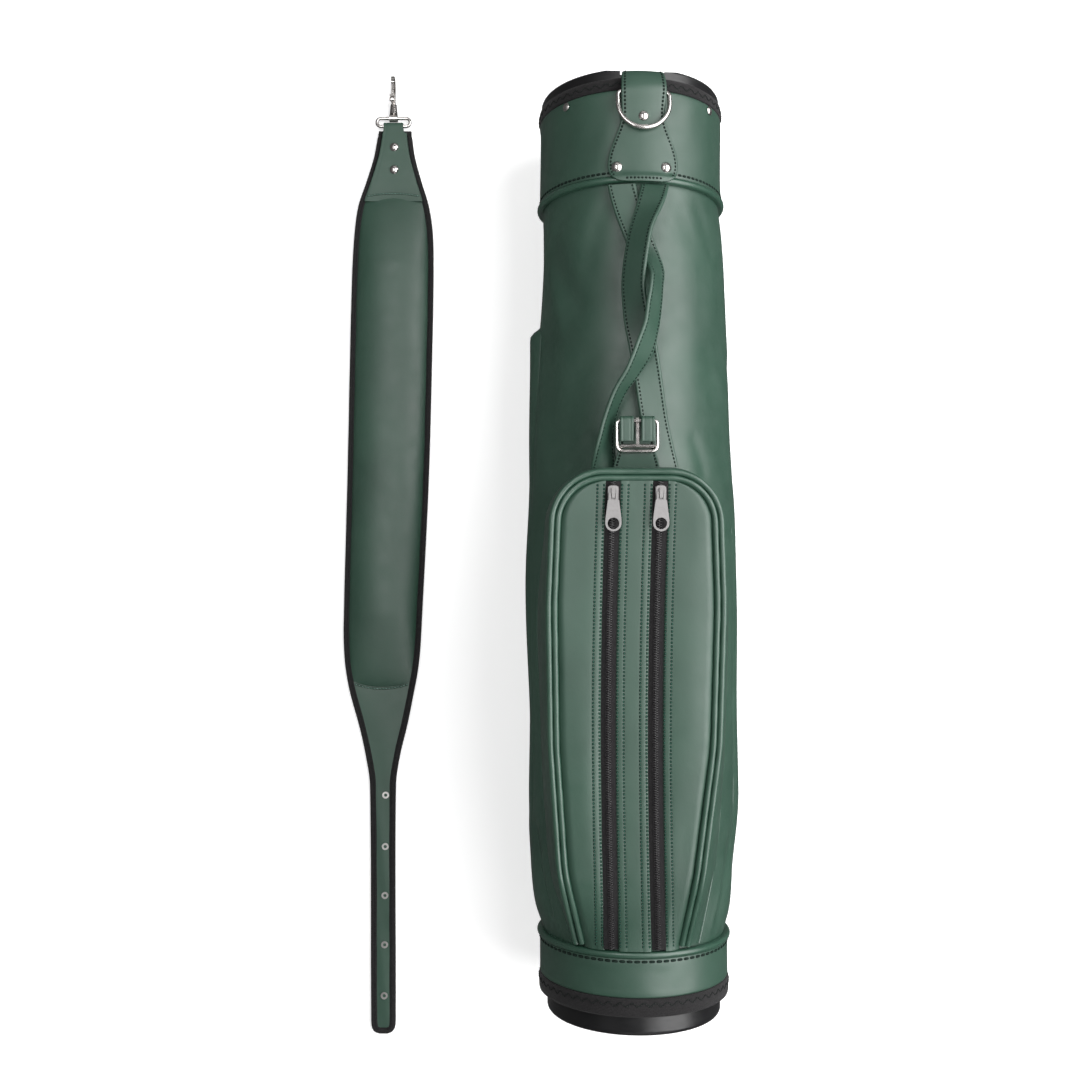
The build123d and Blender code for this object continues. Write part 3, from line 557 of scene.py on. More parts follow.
def turned_piece(name, profile, material, node_name, ripple=None):
    """A ring about the bag's axis from (radius, height) points, kept off the floor."""
    sections = []
    for turn in steps(-180, 180, 240)[:-1]:
        section = []
        for r, s in profile:
            grown = r + (ripple(turn, s) if ripple else 0)
            section.append(polar(turn, min(grown, floor_r(turn)), s))
        sections.append(section)
    loft(name, sections, material, [node_name], ring=True, crease=50)


def leather_profile(low, top):
    """A leather layer whose edges are turned softly in."""
    r = CUFF_R
    lower_edge = [(r - 1.2, low), (r - 0.35, low + 0.5), (r, low + 1.8)]
    face = [(r, s) for s in steps(low + 6, top - 6, 12)]
    upper_edge = [(r, top - 1.8), (r - 0.35, top - 0.5), (r - 1.2, top)]
    return lower_edge + face + upper_edge + [(r - LEATHER, top), (r - LEATHER, low)]


def cuff_ripple(turn, s):
    ends = ease((s - CUFF_LOW - 6) / 12) * ease((CUFF_TOP - s) / 9)
    return ends * (0.3 * sin(radians(turn) * 7 + s / 31) - 0.35 + 0.2 * sin(radians(turn) * 16 - s / 17))


def band_ripple(turn, s):
    ends = ease((s - BAND_LOW) / 7) * ease((BAND_TOP - 5 - s) / 9)
    return ends * (0.25 * sin(radians(turn) * 9 + s / 23) - 0.3)


def welt_profile(s_mid):
    """A rolled edge."""
    face = [(CUFF_R - 0.3 + 3.0 * cos(a), s_mid + 3.1 * sin(a)) for a in steps(-1.75, 1.75, 12)]
    return face + [(CUFF_R - 3.0, s_mid + 3.1), (CUFF_R - 3.0, s_mid - 3.1)]


def binding_profile(r_in, low, top):
    mid, r_out = (low + top) / 2, CUFF_R + 0.7
    return [
        (r_in, low + 0.6), (r_out - 1.6, low), (r_out - 0.4, low + 0.9), (r_out, low + 3),
        (r_out + 0.15, mid), (r_out, top - 3), (r_out - 0.4, top - 0.9), (r_out - 1.6, top),
        (r_in, top - 0.6),
    ]


def ring_track(r, s, wave=0.0, waves=0):
    """A line of stitches round the bag, which can wave up and down."""
    track = []
    for turn in steps(-178, 178, 420):
        shift = wave * sin(radians(turn) * waves)
        track.append((polar(turn, r, s + shift), outward(turn)))
    return track


def zigzag_track(s):
    return ring_track(CUFF_R + 0.95, s, 1.6, 54)


def cuff_and_band():
    turned_piece("cuff_leather", leather_profile(CUFF_LOW, CUFF_TOP), GREEN, "cuff_shell", cuff_ripple)
    turned_piece("band_leather", leather_profile(BAND_LOW, BAND_TOP), GREEN, "base_band", band_ripple)
    turned_piece("cuff_roll", welt_profile(CUFF_LOW - 3.2), GREEN_PIPING, "cuff_welt")
    turned_piece("band_roll", welt_profile(BAND_TOP + 3.2), GREEN_PIPING, "base_band_welt")
    zigzag = Bits()
    low, high = ends_of("cuff_binding")
    turned_piece("cuff_edge_tape", binding_profile(88.4, low, high), WEBBING, "cuff_binding")
    sew(zigzag, zigzag_track((low + high) / 2 - 0.5), ZIGZAG_SEAM)
    low, high = ends_of("base_binding")
    turned_piece("base_edge_tape", binding_profile(86.4, low, high), WEBBING, "base_binding")
    sew(zigzag, zigzag_track(high - 5.5), ZIGZAG_SEAM)
    zigzag.piece("edge_tape_stitches", BLACK_STITCH)
    long_stitches = Bits()
    sew(long_stitches, ring_track(CUFF_R + 0.1, CUFF_LOW + 3.9), CUFF_SEAM)
    sew(long_stitches, ring_track(CUFF_R + 0.1, BAND_TOP - 2.9), BAND_SEAM)
    long_stitches.piece("roll_stitches", SHADE_DARKENED_STITCH)


def divider():
    """Two padded bars across the mouth, with rounded tops."""
    low, high = ends_of("divider_bars")
    reach, half = 83.0, 3.5
    bars = (("divider_bar_a", 45, 0, ["divider_bars"]), ("divider_bar_b", -45, 0.2, []))
    for name, turn, lower, nodes in bars:
        across, up = outward(turn), outward(turn + 90)
        sections = []
        for t in steps(-reach, reach, 40):
            sag = 2.2 * (1 - (t / reach) ** 2) + lower
            puff = half * (0.94 + 0.06 * cos(t / 5.5))
            outline = [(high - half - sag + half * sin(a), cos(a)) for a in steps(0, pi, 10)]
            outline += [(low + half + half * sin(a), cos(a)) for a in steps(pi, 2 * pi, 6)]
            sections.append([bag(0, s, 0) + across * (t * MM) + up * (puff * c * MM) for s, c in outline])
        loft(name, sections, LINING, nodes, crease=70)


# ---- leather strips: the tab, the handle and the buckle's loop ----

def strip_section(half, thick, swell):
    """(across, up) points of a folded-edge strip whose middle is at up 0, with a groove for its seam."""
    points, groove = [], 2.8
    for side in (1, -1):
        flats = steps(half - thick / 2, -half + thick / 2, 20)[1:-1]
        for a in steps(-90, 90, 6):
            edge = thick / 2 * (1 + swell * 0.5)
            points.append((side * (half - thick / 2 + edge * cos(radians(a))), side * edge * sin(radians(a))))
        for across in flats:
            inset = half - abs(across)
            up = thick / 2 * (1 + swell * exp(-((inset - thick / 2) / 1.4) ** 2))
            up -= 0.3 * exp(-((inset - groove) / 0.8) ** 2)
            points.append((side * across, side * up))
    return points


def strip(name, stations, thick, swell, replaces=(), body="bag"):
    """A leather strip through stations of (middle, across, up, half width)."""
    sections = []
    for middle, across, up, half in stations:
        outline = strip_section(half, thick, swell)
        sections.append([middle + across * (a * MM) + up * (u * MM) for a, u in outline])
    loft(name, sections, GREEN, replaces, body)


def strip_seams(bits, stations, thick, seam, inset, faces=(1,)):
    """A seam along both edges of a strip, on the faces that are asked for."""
    for side in (-1, 1):
        for face in faces:
            track = []
            for middle, across, up, half in stations:
                beside = across * (side * (half - inset) * MM)
                track.append((middle + beside + up * (face * (thick / 2 - 0.1) * MM), up * face))
            sew(bits, track, seam)


# Outside of the tab's leather, over the rim and down inside: height, radius
TAB_LOW = 805.5
TAB_PATH = (
    (805.5, 98.6), (808.5, 98.9), (811, 98.8), (813.2, 97.6), (815, 96.7), (821, 96.5), (832, 96.5),
    (845, 96.5), (858, 96.5), (866, 96.7), (874, 97.8), (882, 100.2), (888, 102.6), (893, 103.9),
    (898, 103.6), (903, 102.2), (907.5, 100.2), (911, 98.2), (913.8, 96.0), (915.3, 93.8), (915.9, 91.5),
    (915.9, 87.5), (915.0, 83.6), (912.6, 81.4), (908.5, 80.8), (904, 80.7), (899.5, 80.7),
)


def tab_half(s, going_down):
    if going_down or s > 884:
        return 20.0
    corner = 17.0
    if s < TAB_LOW + corner:
        return corner + sqrt(max(corner**2 - (TAB_LOW + corner - s) ** 2, 0.3))
    return 34.0 - 14.0 * ease((s - 823) / 52)


def ring_tab():
    thick, dense = 2.4, []
    for (s0, r0), (s1, r1) in zip(TAB_PATH, TAB_PATH[1:]):
        dense += [(s0 + (s1 - s0) * k / 4, r0 + (r1 - r0) * k / 4) for k in range(4)]
    dense.append(TAB_PATH[-1])
    dense.insert(1, (TAB_LOW + 0.4, 98.65))
    for _ in range(4):
        smooth = [((a[0] + 2 * b[0] + c[0]) / 4, (a[1] + 2 * b[1] + c[1]) / 4)
                  for a, b, c in zip(dense, dense[1:], dense[2:])]
        dense = [dense[0], *smooth, dense[-1]]
    turned_over = max(range(len(dense)), key=lambda i: dense[i][0])
    sections, rows = [], []
    for i, (s, r) in enumerate(dense):
        along = rise(dense, i)
        n_s, n_r = -along.z, along.y
        half = tab_half(s, i > turned_over)
        middle_r, middle_s = r - n_r * thick / 2, s - n_s * thick / 2
        section = []
        for a, u in strip_section(half, thick, 0.25):
            turn = TAB_TURN + degrees(a / CUFF_R)
            section.append(polar(turn, middle_r + n_r * u, middle_s + n_s * u))
        sections.append(section)
        rows.append((s, r, half, n_s, n_r))
    loft("tab_leather", sections, GREEN, ["ring_tab"])
    bits = Bits()
    for side in (-1, 1):
        track = []
        for s, r, half, n_s, n_r in rows[: turned_over + 2]:
            if s < TAB_LOW + 6:
                continue
            turn = TAB_TURN + degrees(side * (half - 2.9) / CUFF_R)
            track.append((polar(turn, r - 0.05, s), outward(turn) * n_r + Vector((0, n_s, 0))))
        sew(bits, track, TAB_SEAM)
    across = []
    for a in steps(-17, 17, 12):
        across.append((polar(TAB_TURN + degrees(a / CUFF_R), 98.75, TAB_LOW + 3.0), outward(TAB_TURN)))
    sew(bits, across, TAB_SEAM)
    bits.piece("tab_stitches", SHADE_DARKENED_STITCH)


# Middle line of each handle strap: height, offset to the right, height above the axis, lean of its outer face
HANDLE_A = (
    (528, 25.5, 94.4, 15), (553, 19.5, 95.4, 12), (577, 14.5, 96.5, 9), (617, 8.5, 100, 3),
    (645, 3.5, 104.5, -10), (668, -2, 109, -26), (697, -5.8, 113.5, -39), (712, -5.4, 116, -39),
    (733, -2.6, 118, -38), (754, 1.6, 115, -37), (775, 9, 108, -25), (790, 13.8, 103, -10), (803, 17, 94, 2),
)
HANDLE_B = (
    (528, -34, 97.5, 20), (553, -32.5, 104, 54), (577, -28, 108.5, 66), (600, -19, 114.5, 66),
    (617, -7.7, 120, 59), (637, 2.7, 123.5, 47), (659, 9.6, 123, 56), (680, 12.8, 122, 57),
    (695, 14.8, 120.5, 61), (708, 15.5, 116, 62), (723, 13, 107, 42), (745, 3, 98, 8), (765, -4.5, 96, 0),
    (785, -11, 94.6, -7), (803, -15.5, 93.8, -9.5),
)
HANDLE_HALF, HANDLE_THICK = 13.0, 3.4


def handle_stations(table):
    stations = []
    for s in steps(table[0][0], table[-1][0], 90):
        x, z, lean = (through(table, s, column) for column in (1, 2, 3))
        ahead = bag(through(table, s + 0.5, 1), s + 0.5, through(table, s + 0.5, 2))
        along = (ahead - bag(x, s, z)).normalized()
        across = Vector((cos(radians(lean)), 0, -sin(radians(lean))))
        across = (across - along * across.dot(along)).normalized()
        stations.append((bag(x, s, z), across, across.cross(along).normalized(), HANDLE_HALF))
    return stations


def handle():
    bits = Bits()
    for name, table in (("a", HANDLE_A), ("b", HANDLE_B)):
        stations = handle_stations(table)
        strip(f"handle_{name}", stations, HANDLE_THICK, 0.35, [f"handle_strap_{name}"])
        strip_seams(bits, stations, HANDLE_THICK, STRIP_SEAM, 2.8, (1, -1))
    bits.piece("handle_stitches", SHADE_DARKENED_STITCH)


# The bar of the buckle, and the radius at which the leather folds round it
BUCKLE_X, BUCKLE_BAR, BUCKLE_Z = -2.8, 572.0, 113.0
FOLD_R = 3.6


def buckle_loop():
    """The leather that holds the buckle: a base layer, and two lobes that fold back over the bar."""
    thick, base = 2.0, []
    for s in steps(527, 566, 16):
        half = 16.5 + 5.5 * ease((552 - s) / 26)
        sag = -5.5 * ease((548 - s) / 24)
        base.append((bag(BUCKLE_X, s, BUCKLE_Z - FOLD_R + sag), RIGHT, UP, half))
    strip("chape_base", base, thick, 0.2, ["buckle_chape"])
    bits = Bits()
    strip_seams(bits, base, thick, CHAPE_SEAM, 2.6)
    lobe = [(s, -FOLD_R) for s in steps(558, 570, 4)]
    bend = pi / 2 - 0.15
    lobe += [(BUCKLE_BAR + FOLD_R * cos(a), FOLD_R * sin(a)) for a in steps(-bend, bend, 12)]
    lobe += [(s, FOLD_R - 0.9 * ease((562 - s) / 10)) for s in steps(570, 553, 7)]
    for name, side in (("left", -1), ("right", 1)):
        stations = []
        for i, (s, h) in enumerate(lobe):
            middle = bag(BUCKLE_X + side * 9.9, s, BUCKLE_Z + h)
            stations.append((middle, RIGHT, rise(lobe, i).cross(RIGHT), 6.3))
        strip(f"chape_lobe_{name}", stations, thick, 0.15)
        inside = RIGHT * (side * 4.2 * MM)
        track = [(middle + inside - up * (0.95 * MM), -up) for middle, _, up, _ in stations]
        sew(bits, track, LOBE_SEAM, 3)
    bits.piece("chape_stitches", SHADE_DARKENED_STITCH)


# ---- front pocket ----

POCKET_LOW, POCKET_TOP = 80.6, 524.5
POCKET_POINTS = (
    (-54.5, 50), (-78.5, 152), (-86.5, 270), (-88.5, 400), (-83.5, POCKET_TOP),
    (73, POCKET_TOP), (77.7, 400), (74.5, 270), (60, 152), (41, 50),
)
POCKET_RADII = (0, 200, 300, 400, 50, 50, 400, 300, 200, 0)
ZIPS = {"left": -27.0, "right": 16.2}
ZIP_TOP, ZIP_LOW, ZIP_BOW = 508.5, 82.0, 4.0
PIPING = 2.75
# Distances of the two rows of stitches from a panel's edge beside a zip
STITCH_ROWS = (1.9, 7.6)


def front_z(x, s):
    """The pocket's front: a slope that bends down onto the band at its low end."""
    slope, on_band_r = 5.18, 96.4
    ramp = 139 + (s - 515) * tan(radians(slope))
    band = sqrt(max(on_band_r**2 - x * x, 0)) + 0.6
    low = clamp((152 - s) / 68) ** 1.9
    return ramp - low * max(ramp - band, 0)


def zip_x(name, s):
    """The zips bow a little to the left between their ends."""
    return ZIPS[name] - ZIP_BOW * sin(pi * clamp((s - ZIP_LOW) / (ZIP_TOP - ZIP_LOW)))


def pocket_path(inset):
    path = shifted(rounded_path(POCKET_POINTS, POCKET_RADII), inset)
    return [p for p in path if p.y >= POCKET_LOW]


def pocket_piping():
    for name, inset in (("outer", PIPING), ("inner", 3 * PIPING + 0.2)):
        sections = []
        path = pocket_path(inset)
        for i, p in enumerate(path):
            along = heading(path, i)
            middle = bag(p.x, p.y, front_z(p.x, p.y) - PIPING)
            r = PIPING + 0.12 + 0.12 * sin(i * 0.9)
            sections.append(bead(middle, Vector((along.y, -along.x, 0)), r, 14))
        loft(f"pocket_roll_{name}", sections, GREEN_PIPING, [f"pocket_piping_{name}"], crease=70)


def wall_foot(p):
    """Turn at which the pocket's wall meets the body, for a point of its outline."""
    side = -1 if p.x < 0 else 1
    foot_r, most = 93, 0.97
    straight = degrees(asin(max(-most, min(most, p.x / foot_r))))
    return straight + (through(SEAM[side], p.y) - straight) * ease((480 - p.y) / 110)


def pocket_wall():
    sections, seam, thick = [], [], 2.6
    path = pocket_path(0.4)
    for i, p in enumerate(path):
        along = heading(path, i)
        out = Vector((-along.y, along.x, 0))
        top = bag(p.x, p.y, front_z(p.x, p.y) - 3.6)
        foot_turn = wall_foot(p)
        foot_s = p.y + 2.0 * ease((p.y - 480) / 30)
        foot = polar(foot_turn, body_r(foot_turn, min(foot_s, 800)) + 0.2, foot_s)
        tall = (top - foot).length / MM
        pairs = []
        for v in steps(0, 1, 12):
            belly = min(3.4, tall * 0.07) * sin(pi * v) ** 0.8
            belly += 0.55 * sin(p.y / 13 + v * 5) * sin(pi * v) * ease((230 - p.y) / 90)
            point = foot.lerp(top, v) + out * (belly * MM)
            pairs.append((point, point - out * (thick * MM)))
        sections.append(layer(pairs))
        seam.append(bead(foot + out * 0.4 * MM, out, 1.5, 8))
    loft("pocket_wall", sections, GREEN, ["pocket_gusset"])
    loft("pocket_wall_seam", seam, GREEN_PIPING, crease=70)


def edge_at(path, side, s):
    """Where the outline is at a height, on one side."""
    half = sorted((p.y, p.x) for p in path if (p.x > -5) == (side > 0))
    return through_line(half, s)


def through_line(table, at):
    """Straight lines through a table's rows."""
    if at <= table[0][0]:
        return table[0][1]
    for (a, va), (b, vb) in zip(table, table[1:]):
        if at <= b:
            return va + (vb - va) * (at - a) / max(b - a, 1e-6)
    return table[-1][1]


def pocket_panels():
    path = pocket_path(4 * PIPING - 0.2)
    tape = 6.4
    rows = [POCKET_LOW + (513.4 - POCKET_LOW) * sin(pi / 2 * t) for t in steps(0, 1, 110)]
    bounds = {
        "left": (lambda s: edge_at(path, -1, s), lambda s: zip_x("left", s) - tape),
        "centre": (lambda s: zip_x("left", s) + tape, lambda s: zip_x("right", s) - tape),
        "right": (lambda s: zip_x("right", s) + tape, lambda s: edge_at(path, 1, s)),
    }
    for name, (low_edge, high_edge) in bounds.items():
        sections = []
        for s in rows:
            low = low_edge(s)
            high = max(high_edge(s), low + 0.4)
            pairs = []
            for t in steps(0, 1, 28):
                x = low + (high - low) * t
                z = front_z(x, s) - 0.6 + panel_height(name, t, s, low, high)
                pairs.append((bag(x, s, z), bag(x, s, z - 2.4)))
            sections.append(layer(pairs))
        loft(f"front_panel_{name}", sections, GREEN, [f"pocket_panel_{name}"])
    bits = Bits()
    for name, panels in (("left", ("left", "centre")), ("right", ("centre", "right"))):
        for side, panel in zip((-1, 1), panels):
            for away in (tape + row for row in STITCH_ROWS):
                track = []
                for s in steps(POCKET_LOW + 3, 511, 150):
                    x = zip_x(name, s) + side * away
                    low, high = bounds[panel][0](s), bounds[panel][1](s)
                    if not low + 0.8 < x < high - 0.8:
                        continue
                    z = front_z(x, s) - 0.6 + panel_height(panel, (x - low) / (high - low), s, low, high)
                    track.append((bag(x, s, z + 0.1), Vector((0, -0.09, 1)).normalized()))
                sew(bits, track, PANEL_SEAM)
    bits.piece("front_panel_stitches", STITCH)


# Soft dents (negative) and swells in the side panels: share of the panel's width, height, half width as a
# share, half length, height
DENTS = {
    "left": ((0.3, 440, 0.34, 55, -1.5), (0.62, 250, 0.3, 70, 0.9), (0.4, 150, 0.4, 40, -0.8)),
    "right": ((0.35, 470, 0.3, 30, -1.1), (0.55, 330, 0.4, 80, 0.9), (0.6, 175, 0.4, 60, -1.4),
              (0.2, 100, 0.2, 14, 0.9)),
    "centre": (),
}


def panel_height(name, t, s, low, high):
    """Height of a panel's face above the pocket's front."""
    width = high - low
    crown = (1.5 if name != "centre" else 0.5) * arch(t) * ease(width / 22)
    crown *= ease((s - POCKET_LOW) / 60) * ease((516 - s) / 34)
    edges = 0.0
    for at, zip_side in ((t * width, name != "left"), ((1 - t) * width, name != "right")):
        if zip_side:
            edges -= 0.9 * max(0.0, 1 - at / 1.3) ** 2
            for row in STITCH_ROWS:
                edges -= 0.28 * exp(-((at - row) / 0.9) ** 2)
            edges += 0.3 * ease(at) * (1 - ease((at - 7.2) / 1.4))
        else:
            edges -= 3.2 * max(0.0, 1 - at / 7.0) ** 2
    for across, up, half_width, half_length, height in DENTS[name]:
        edges += height * exp(-(((t - across) / half_width) ** 2 + ((s - up) / half_length) ** 2))
    return crown + edges


# ---- zips ----

# Section of a zip's tape: distance from its middle, height
TAPE_SECTION = (
    (-7.0, -1.2), (7.0, -1.2), (7.1, -0.3), (6.6, 0.05), (3.0, 0.0), (2.6, 0.25), (-2.6, 0.25), (-3.0, 0.0),
    (-6.6, 0.05), (-7.1, -0.3),
)


def zip_on(name, track):
    """Tape and coil along a track of (middle, across, up)."""
    tape = []
    for middle, across, up in track:
        tape.append([middle + across * (a * MM) + up * (u * MM) for a, u in TAPE_SECTION])
    loft(f"{name}_woven_tape", tape, ZIP_TAPE, [f"{name}_tape"], crease=40)
    bits = Bits()
    line = [(middle, up) for middle, across, up in track]
    for i, (point, along, up) in enumerate(walk(line, 1.1 * MM)):
        across = along.cross(up)
        side = 1 if i % 2 else -1
        lean = (across * side + along * 0.16).normalized()
        place = point + across * (side * 0.75 * MM) + up * 1.0 * MM
        bits.capsule(place, lean, up, 3.1 * MM, 1.0 * MM, 1.5 * MM)
    for side in (-1, 1):
        for point, along, up in walk(line, 2.4 * MM):
            place = point + along.cross(up) * (side * 2.5 * MM) + up * 0.45 * MM
            bits.capsule(place, along, up, 2.3 * MM, 0.6 * MM, 0.5 * MM, 1)
    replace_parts(bits.piece(f"{name}_coil_teeth", [COIL, BLACK_THREAD]), f"{name}_coil")


def zips():
    for name in ZIPS:
        track = []
        for s in steps(ZIP_LOW, 513, 120):
            x = zip_x(name, s)
            slope = (front_z(x, s + 1) - front_z(x, s - 1)) / 2
            up = Vector((0, -slope, 1)).normalized()
            track.append((bag(x, s, front_z(x, s) - 1.0), RIGHT, up))
        zip_on(f"zip_{name}", track)
    for side, spec in SIDE_POCKETS.items():
        track = []
        turn = spec["zip_turn"]
        for s in steps(SIDE_LOW + 46, spec["top"] - 34, 60):
            track.append((polar(turn, spec["radius"] - 0.7, s), outward(turn + 90), outward(turn)))
        zip_on(f"zip_side_{side}", track)


# ---- side pockets ----

SIDE_POCKETS = {
    "left": {"side": -1, "radius": 104, "top": 686, "front": 80, "top_taper": 12, "zip_turn": -118},
    "right": {"side": 1, "radius": 106, "top": 536, "front": 78, "top_taper": 70, "zip_turn": 118},
}
SIDE_LOW, SIDE_BACK = 112, 162


def side_pocket(name, spec):
    """A long pouch that wraps the bag's back quarter and lies on the floor, with a recess for its zip."""
    side, low, top = spec["side"], SIDE_LOW, spec["top"]
    sections = []
    for s in steps(low, top, 120):
        ends = ease((s - low) / 105) * sqrt(ease((top - s) / spec["top_taper"]))
        front = spec["front"] + 7 * (1 - ends)
        pairs = []
        for share in steps(0, 1, 72):
            turn = front + (SIDE_BACK - front) * share
            skin = body_r(side * turn, s)
            full = sqrt(ease(share / 0.12)) * sqrt(clamp((1 - share) / 0.04))
            grown = skin + max(spec["radius"] + 0.6 - skin, 1.8) * full * (0.1 + 0.9 * ends)
            grown += 0.5 * sin(s / 29 + share * 7) * full * ends - 0.4
            arc = abs(radians(turn - abs(spec["zip_turn"])) * spec["radius"])
            inside_zip = ease((s - low - 38) / 4) * ease((top - 28 - s) / 4)
            grown += (spec["radius"] - 4.0 - grown) * ease((8.6 - arc) / 1.2) * inside_zip
            outside, inside = min(grown, floor_r(turn)), min(skin - 1.0, floor_r(turn) - 0.5)
            pairs.append((polar(side * turn, outside, s), polar(side * turn, inside, s)))
        sections.append(layer(pairs))
    loft(f"{name}_pouch", sections, GREEN, [f"side_pocket_{name}"], crease=55)
    bits = Bits()
    for away in (-10.4, 10.4):
        turn = spec["zip_turn"] + degrees(away / spec["radius"])
        track = [(polar(turn, spec["radius"] - 0.1 + 0.5 * sin(s / 29 + 2), s), outward(turn))
                 for s in steps(low + 40, top - 30, 90)]
        sew(bits, track, PANEL_SEAM)
    bits.piece(f"{name}_pouch_stitches", STITCH)


# ---- shoulder strap ----

STRAP = "shoulder_strap"

# Height, left edge and right edge of the strap
STRAP_EDGES = (
    (-59.5, -266, -257.5), (-58, -270.5, -253), (-54, -273.8, -249.7), (-46, -275.1, -248.6),
    (205, -278.5, -250), (238, -283.5, -245.6), (270, -291, -238), (305, -301, -231.2), (328, -305.6, -227),
    (350, -307.9, -224.6), (380, -308.7, -223), (540, -306, -216), (700, -304, -212.6),
    (770, -302.7, -211.9), (815, -300.5, -213), (846, -296.3, -217.6), (872, -288, -225.4),
    (900, -279.6, -233.1), (920, -276, -236.2), (931, -274.2, -237.2),
)
PAD_LOW, PAD_TOP = 316.0, 854.0
LOOP_X, LOOP_Y = -257.5, 936.0


def strap_edges(s, inset=0.0):
    """Where the strap's left and right edges are at a height, moved inwards."""
    return through(STRAP_EDGES, s, 1) + inset, through(STRAP_EDGES, s, 2) - inset


def strap_row(s, inset, shares):
    """Points across the strap: share of its width, x."""
    left, right = strap_edges(s, inset)
    return [(t, left + (right - left) * t) for t in shares]


def strap_outline(inset):
    """Closed outline of the strap, up its left edge and down its right."""
    heights = [-59.5, -59, -58, -56.5, -54, -50, -46] + steps(-40, 931, 240)
    left, right = ([Vector((strap_edges(s)[n], s)) for s in heights] for n in (0, 1))
    return shifted(left + right[::-1], inset, closed=True)


def strap_binding():
    """Woven tape folded over the strap's edge."""
    half = 3.5
    middle = strap_outline(half)
    sections, seam = [], []
    for i, p in enumerate(middle):
        along = heading(middle, i, closed=True)
        across = Vector((along.y, -along.x, 0))
        high = 5.2 + 0.25 * sin(i * 0.37)
        centre = bag(p.x, p.y, FLOOR + high / 2)
        row = []
        for a in steps(0, 360, 16)[:-1]:
            c, n = cos(radians(a)), sin(radians(a))
            flat = copysign(abs(c) ** 0.6, c) * half
            tall = copysign(abs(n) ** 0.7, n) * high / 2
            row.append(centre + across * (flat * MM) + UP * (tall * MM))
        sections.append(row)
        seam.append((bag(p.x, p.y, FLOOR + high) + across * (1.2 * MM), UP))
    loft("strap_edge_tape", sections, WEBBING, ["strap_binding"], STRAP, ring=True, crease=70)
    bits = Bits()
    sew(bits, seam, STRAP_EDGE_SEAM)
    bits.piece("strap_edge_stitches", BLACK_STITCH, STRAP)


def strap_sheet(name, low, top, z_low, z_top, material, replaces, count, inset=5.2, wave=0.0):
    """A flat layer between the two edges of the strap."""
    sections = []
    for s in steps(low, top, count):
        pairs = []
        for t, x in strap_row(s, inset, steps(0, 1, 16)):
            lift = wave * (sin(s / 21 + 3 * t) * sin(pi * t)) + 0.4 * sin(pi * t)
            pairs.append((bag(x, s, FLOOR + z_top + lift), bag(x, s, FLOOR + z_low)))
        sections.append(layer(pairs))
    loft(name, sections, material, replaces, STRAP)


def pad_height(t, s):
    """Height of the pad's face: crowned across, and drawn down at its two cross seams."""
    across = max(0.0, 1 - abs(2 * t - 1) ** 2.2) ** 0.7
    ends = clamp((s - PAD_LOW) / 75) ** 0.5 * clamp((PAD_TOP - s) / 75) ** 0.5
    soft = 0.5 * sin(s / 61) + 0.25 * sin(s / 23 + 4 * t)
    return 3.4 + (12.6 + soft) * across * ends


def strap_pad():
    sections = []
    for share in cosine_steps(120):
        s = PAD_LOW + (PAD_TOP - PAD_LOW) * share
        pairs = []
        for t, x in strap_row(s, 5.4, cosine_steps(36)):
            bent = s + 5.0 * arch(t) * (ease((s - 780) / 74) - ease((390 - s) / 74))
            pairs.append((bag(x, bent, FLOOR + pad_height(t, s)), bag(x, bent, FLOOR + 2.1)))
        sections.append(layer(pairs))
    pad = loft("strap_pad", sections, GREEN, ["strap_pad_face", "strap_pad_core"], STRAP, crease=70)
    bits = Bits()
    for s, bend, height in ((PAD_LOW - 1.6, -5.0, 5.0), (PAD_TOP + 1.6, 3.0, 7.2)):
        track = []
        for t, x in strap_row(s, 8.0, steps(0, 1, 24)):
            track.append((bag(x, s + bend * arch(t), FLOOR + height), UP))
        sew(bits, track, PAD_SEAM)
    bits.piece("strap_seam_stitches", PALE_STITCH, STRAP)


def strap_fold():
    """The upper end: leather that narrows, folds round the metal loop and comes back beneath."""
    z, ring = 4.6, 3.2
    path = [(s, z + ring - 1.6 * ease((900 - s) / 46)) for s in steps(850, LOOP_Y - 2, 30)]
    path += [(LOOP_Y + ring * sin(a), z + ring * cos(a)) for a in steps(0.1, pi - 0.1, 12)]
    path += [(s, z - ring) for s in steps(LOOP_Y - 2, 880, 10)]
    stations = []
    for i, (s, h) in enumerate(path):
        left, right = strap_edges(min(s, 929), 6.0)
        half, middle = (right - left) / 2, (left + right) / 2
        half += (10.8 - half) * ease((s - 925) / 7)
        middle += (LOOP_X - middle) * ease((s - 922) / 10)
        stations.append((bag(middle, s, FLOOR + h), RIGHT, RIGHT.cross(rise(path, i)), half))
    strip("strap_end_leather", stations, 1.7, 0.1, ["strap_top_end"], STRAP)


def shoulder_strap():
    strap_sheet("strap_underside", -52, 850, 0.4, 2.0, BACKING, ["strap_backing"], 90)
    strap_sheet("strap_tail_leather", -53, PAD_LOW + 1, 2.1, 4.0, GREEN, ["strap_tail"], 90, wave=0.3)
    strap_sheet("strap_end_filling", 851, 928, 0.4, 6.2, GREEN, [], 20, inset=5.6)
    strap_binding()
    strap_pad()
    strap_fold()


# ---- stage ----

def plain(name, grey, glow):
    """A dull grey that glows a little."""
    settings = {"Base Color": (grey, grey, grey, 1), "Roughness": 0.8}
    settings |= {"Emission Color": (1, 1, 1, 1), "Emission Strength": glow}
    return nodes_of(name, settings)[0]


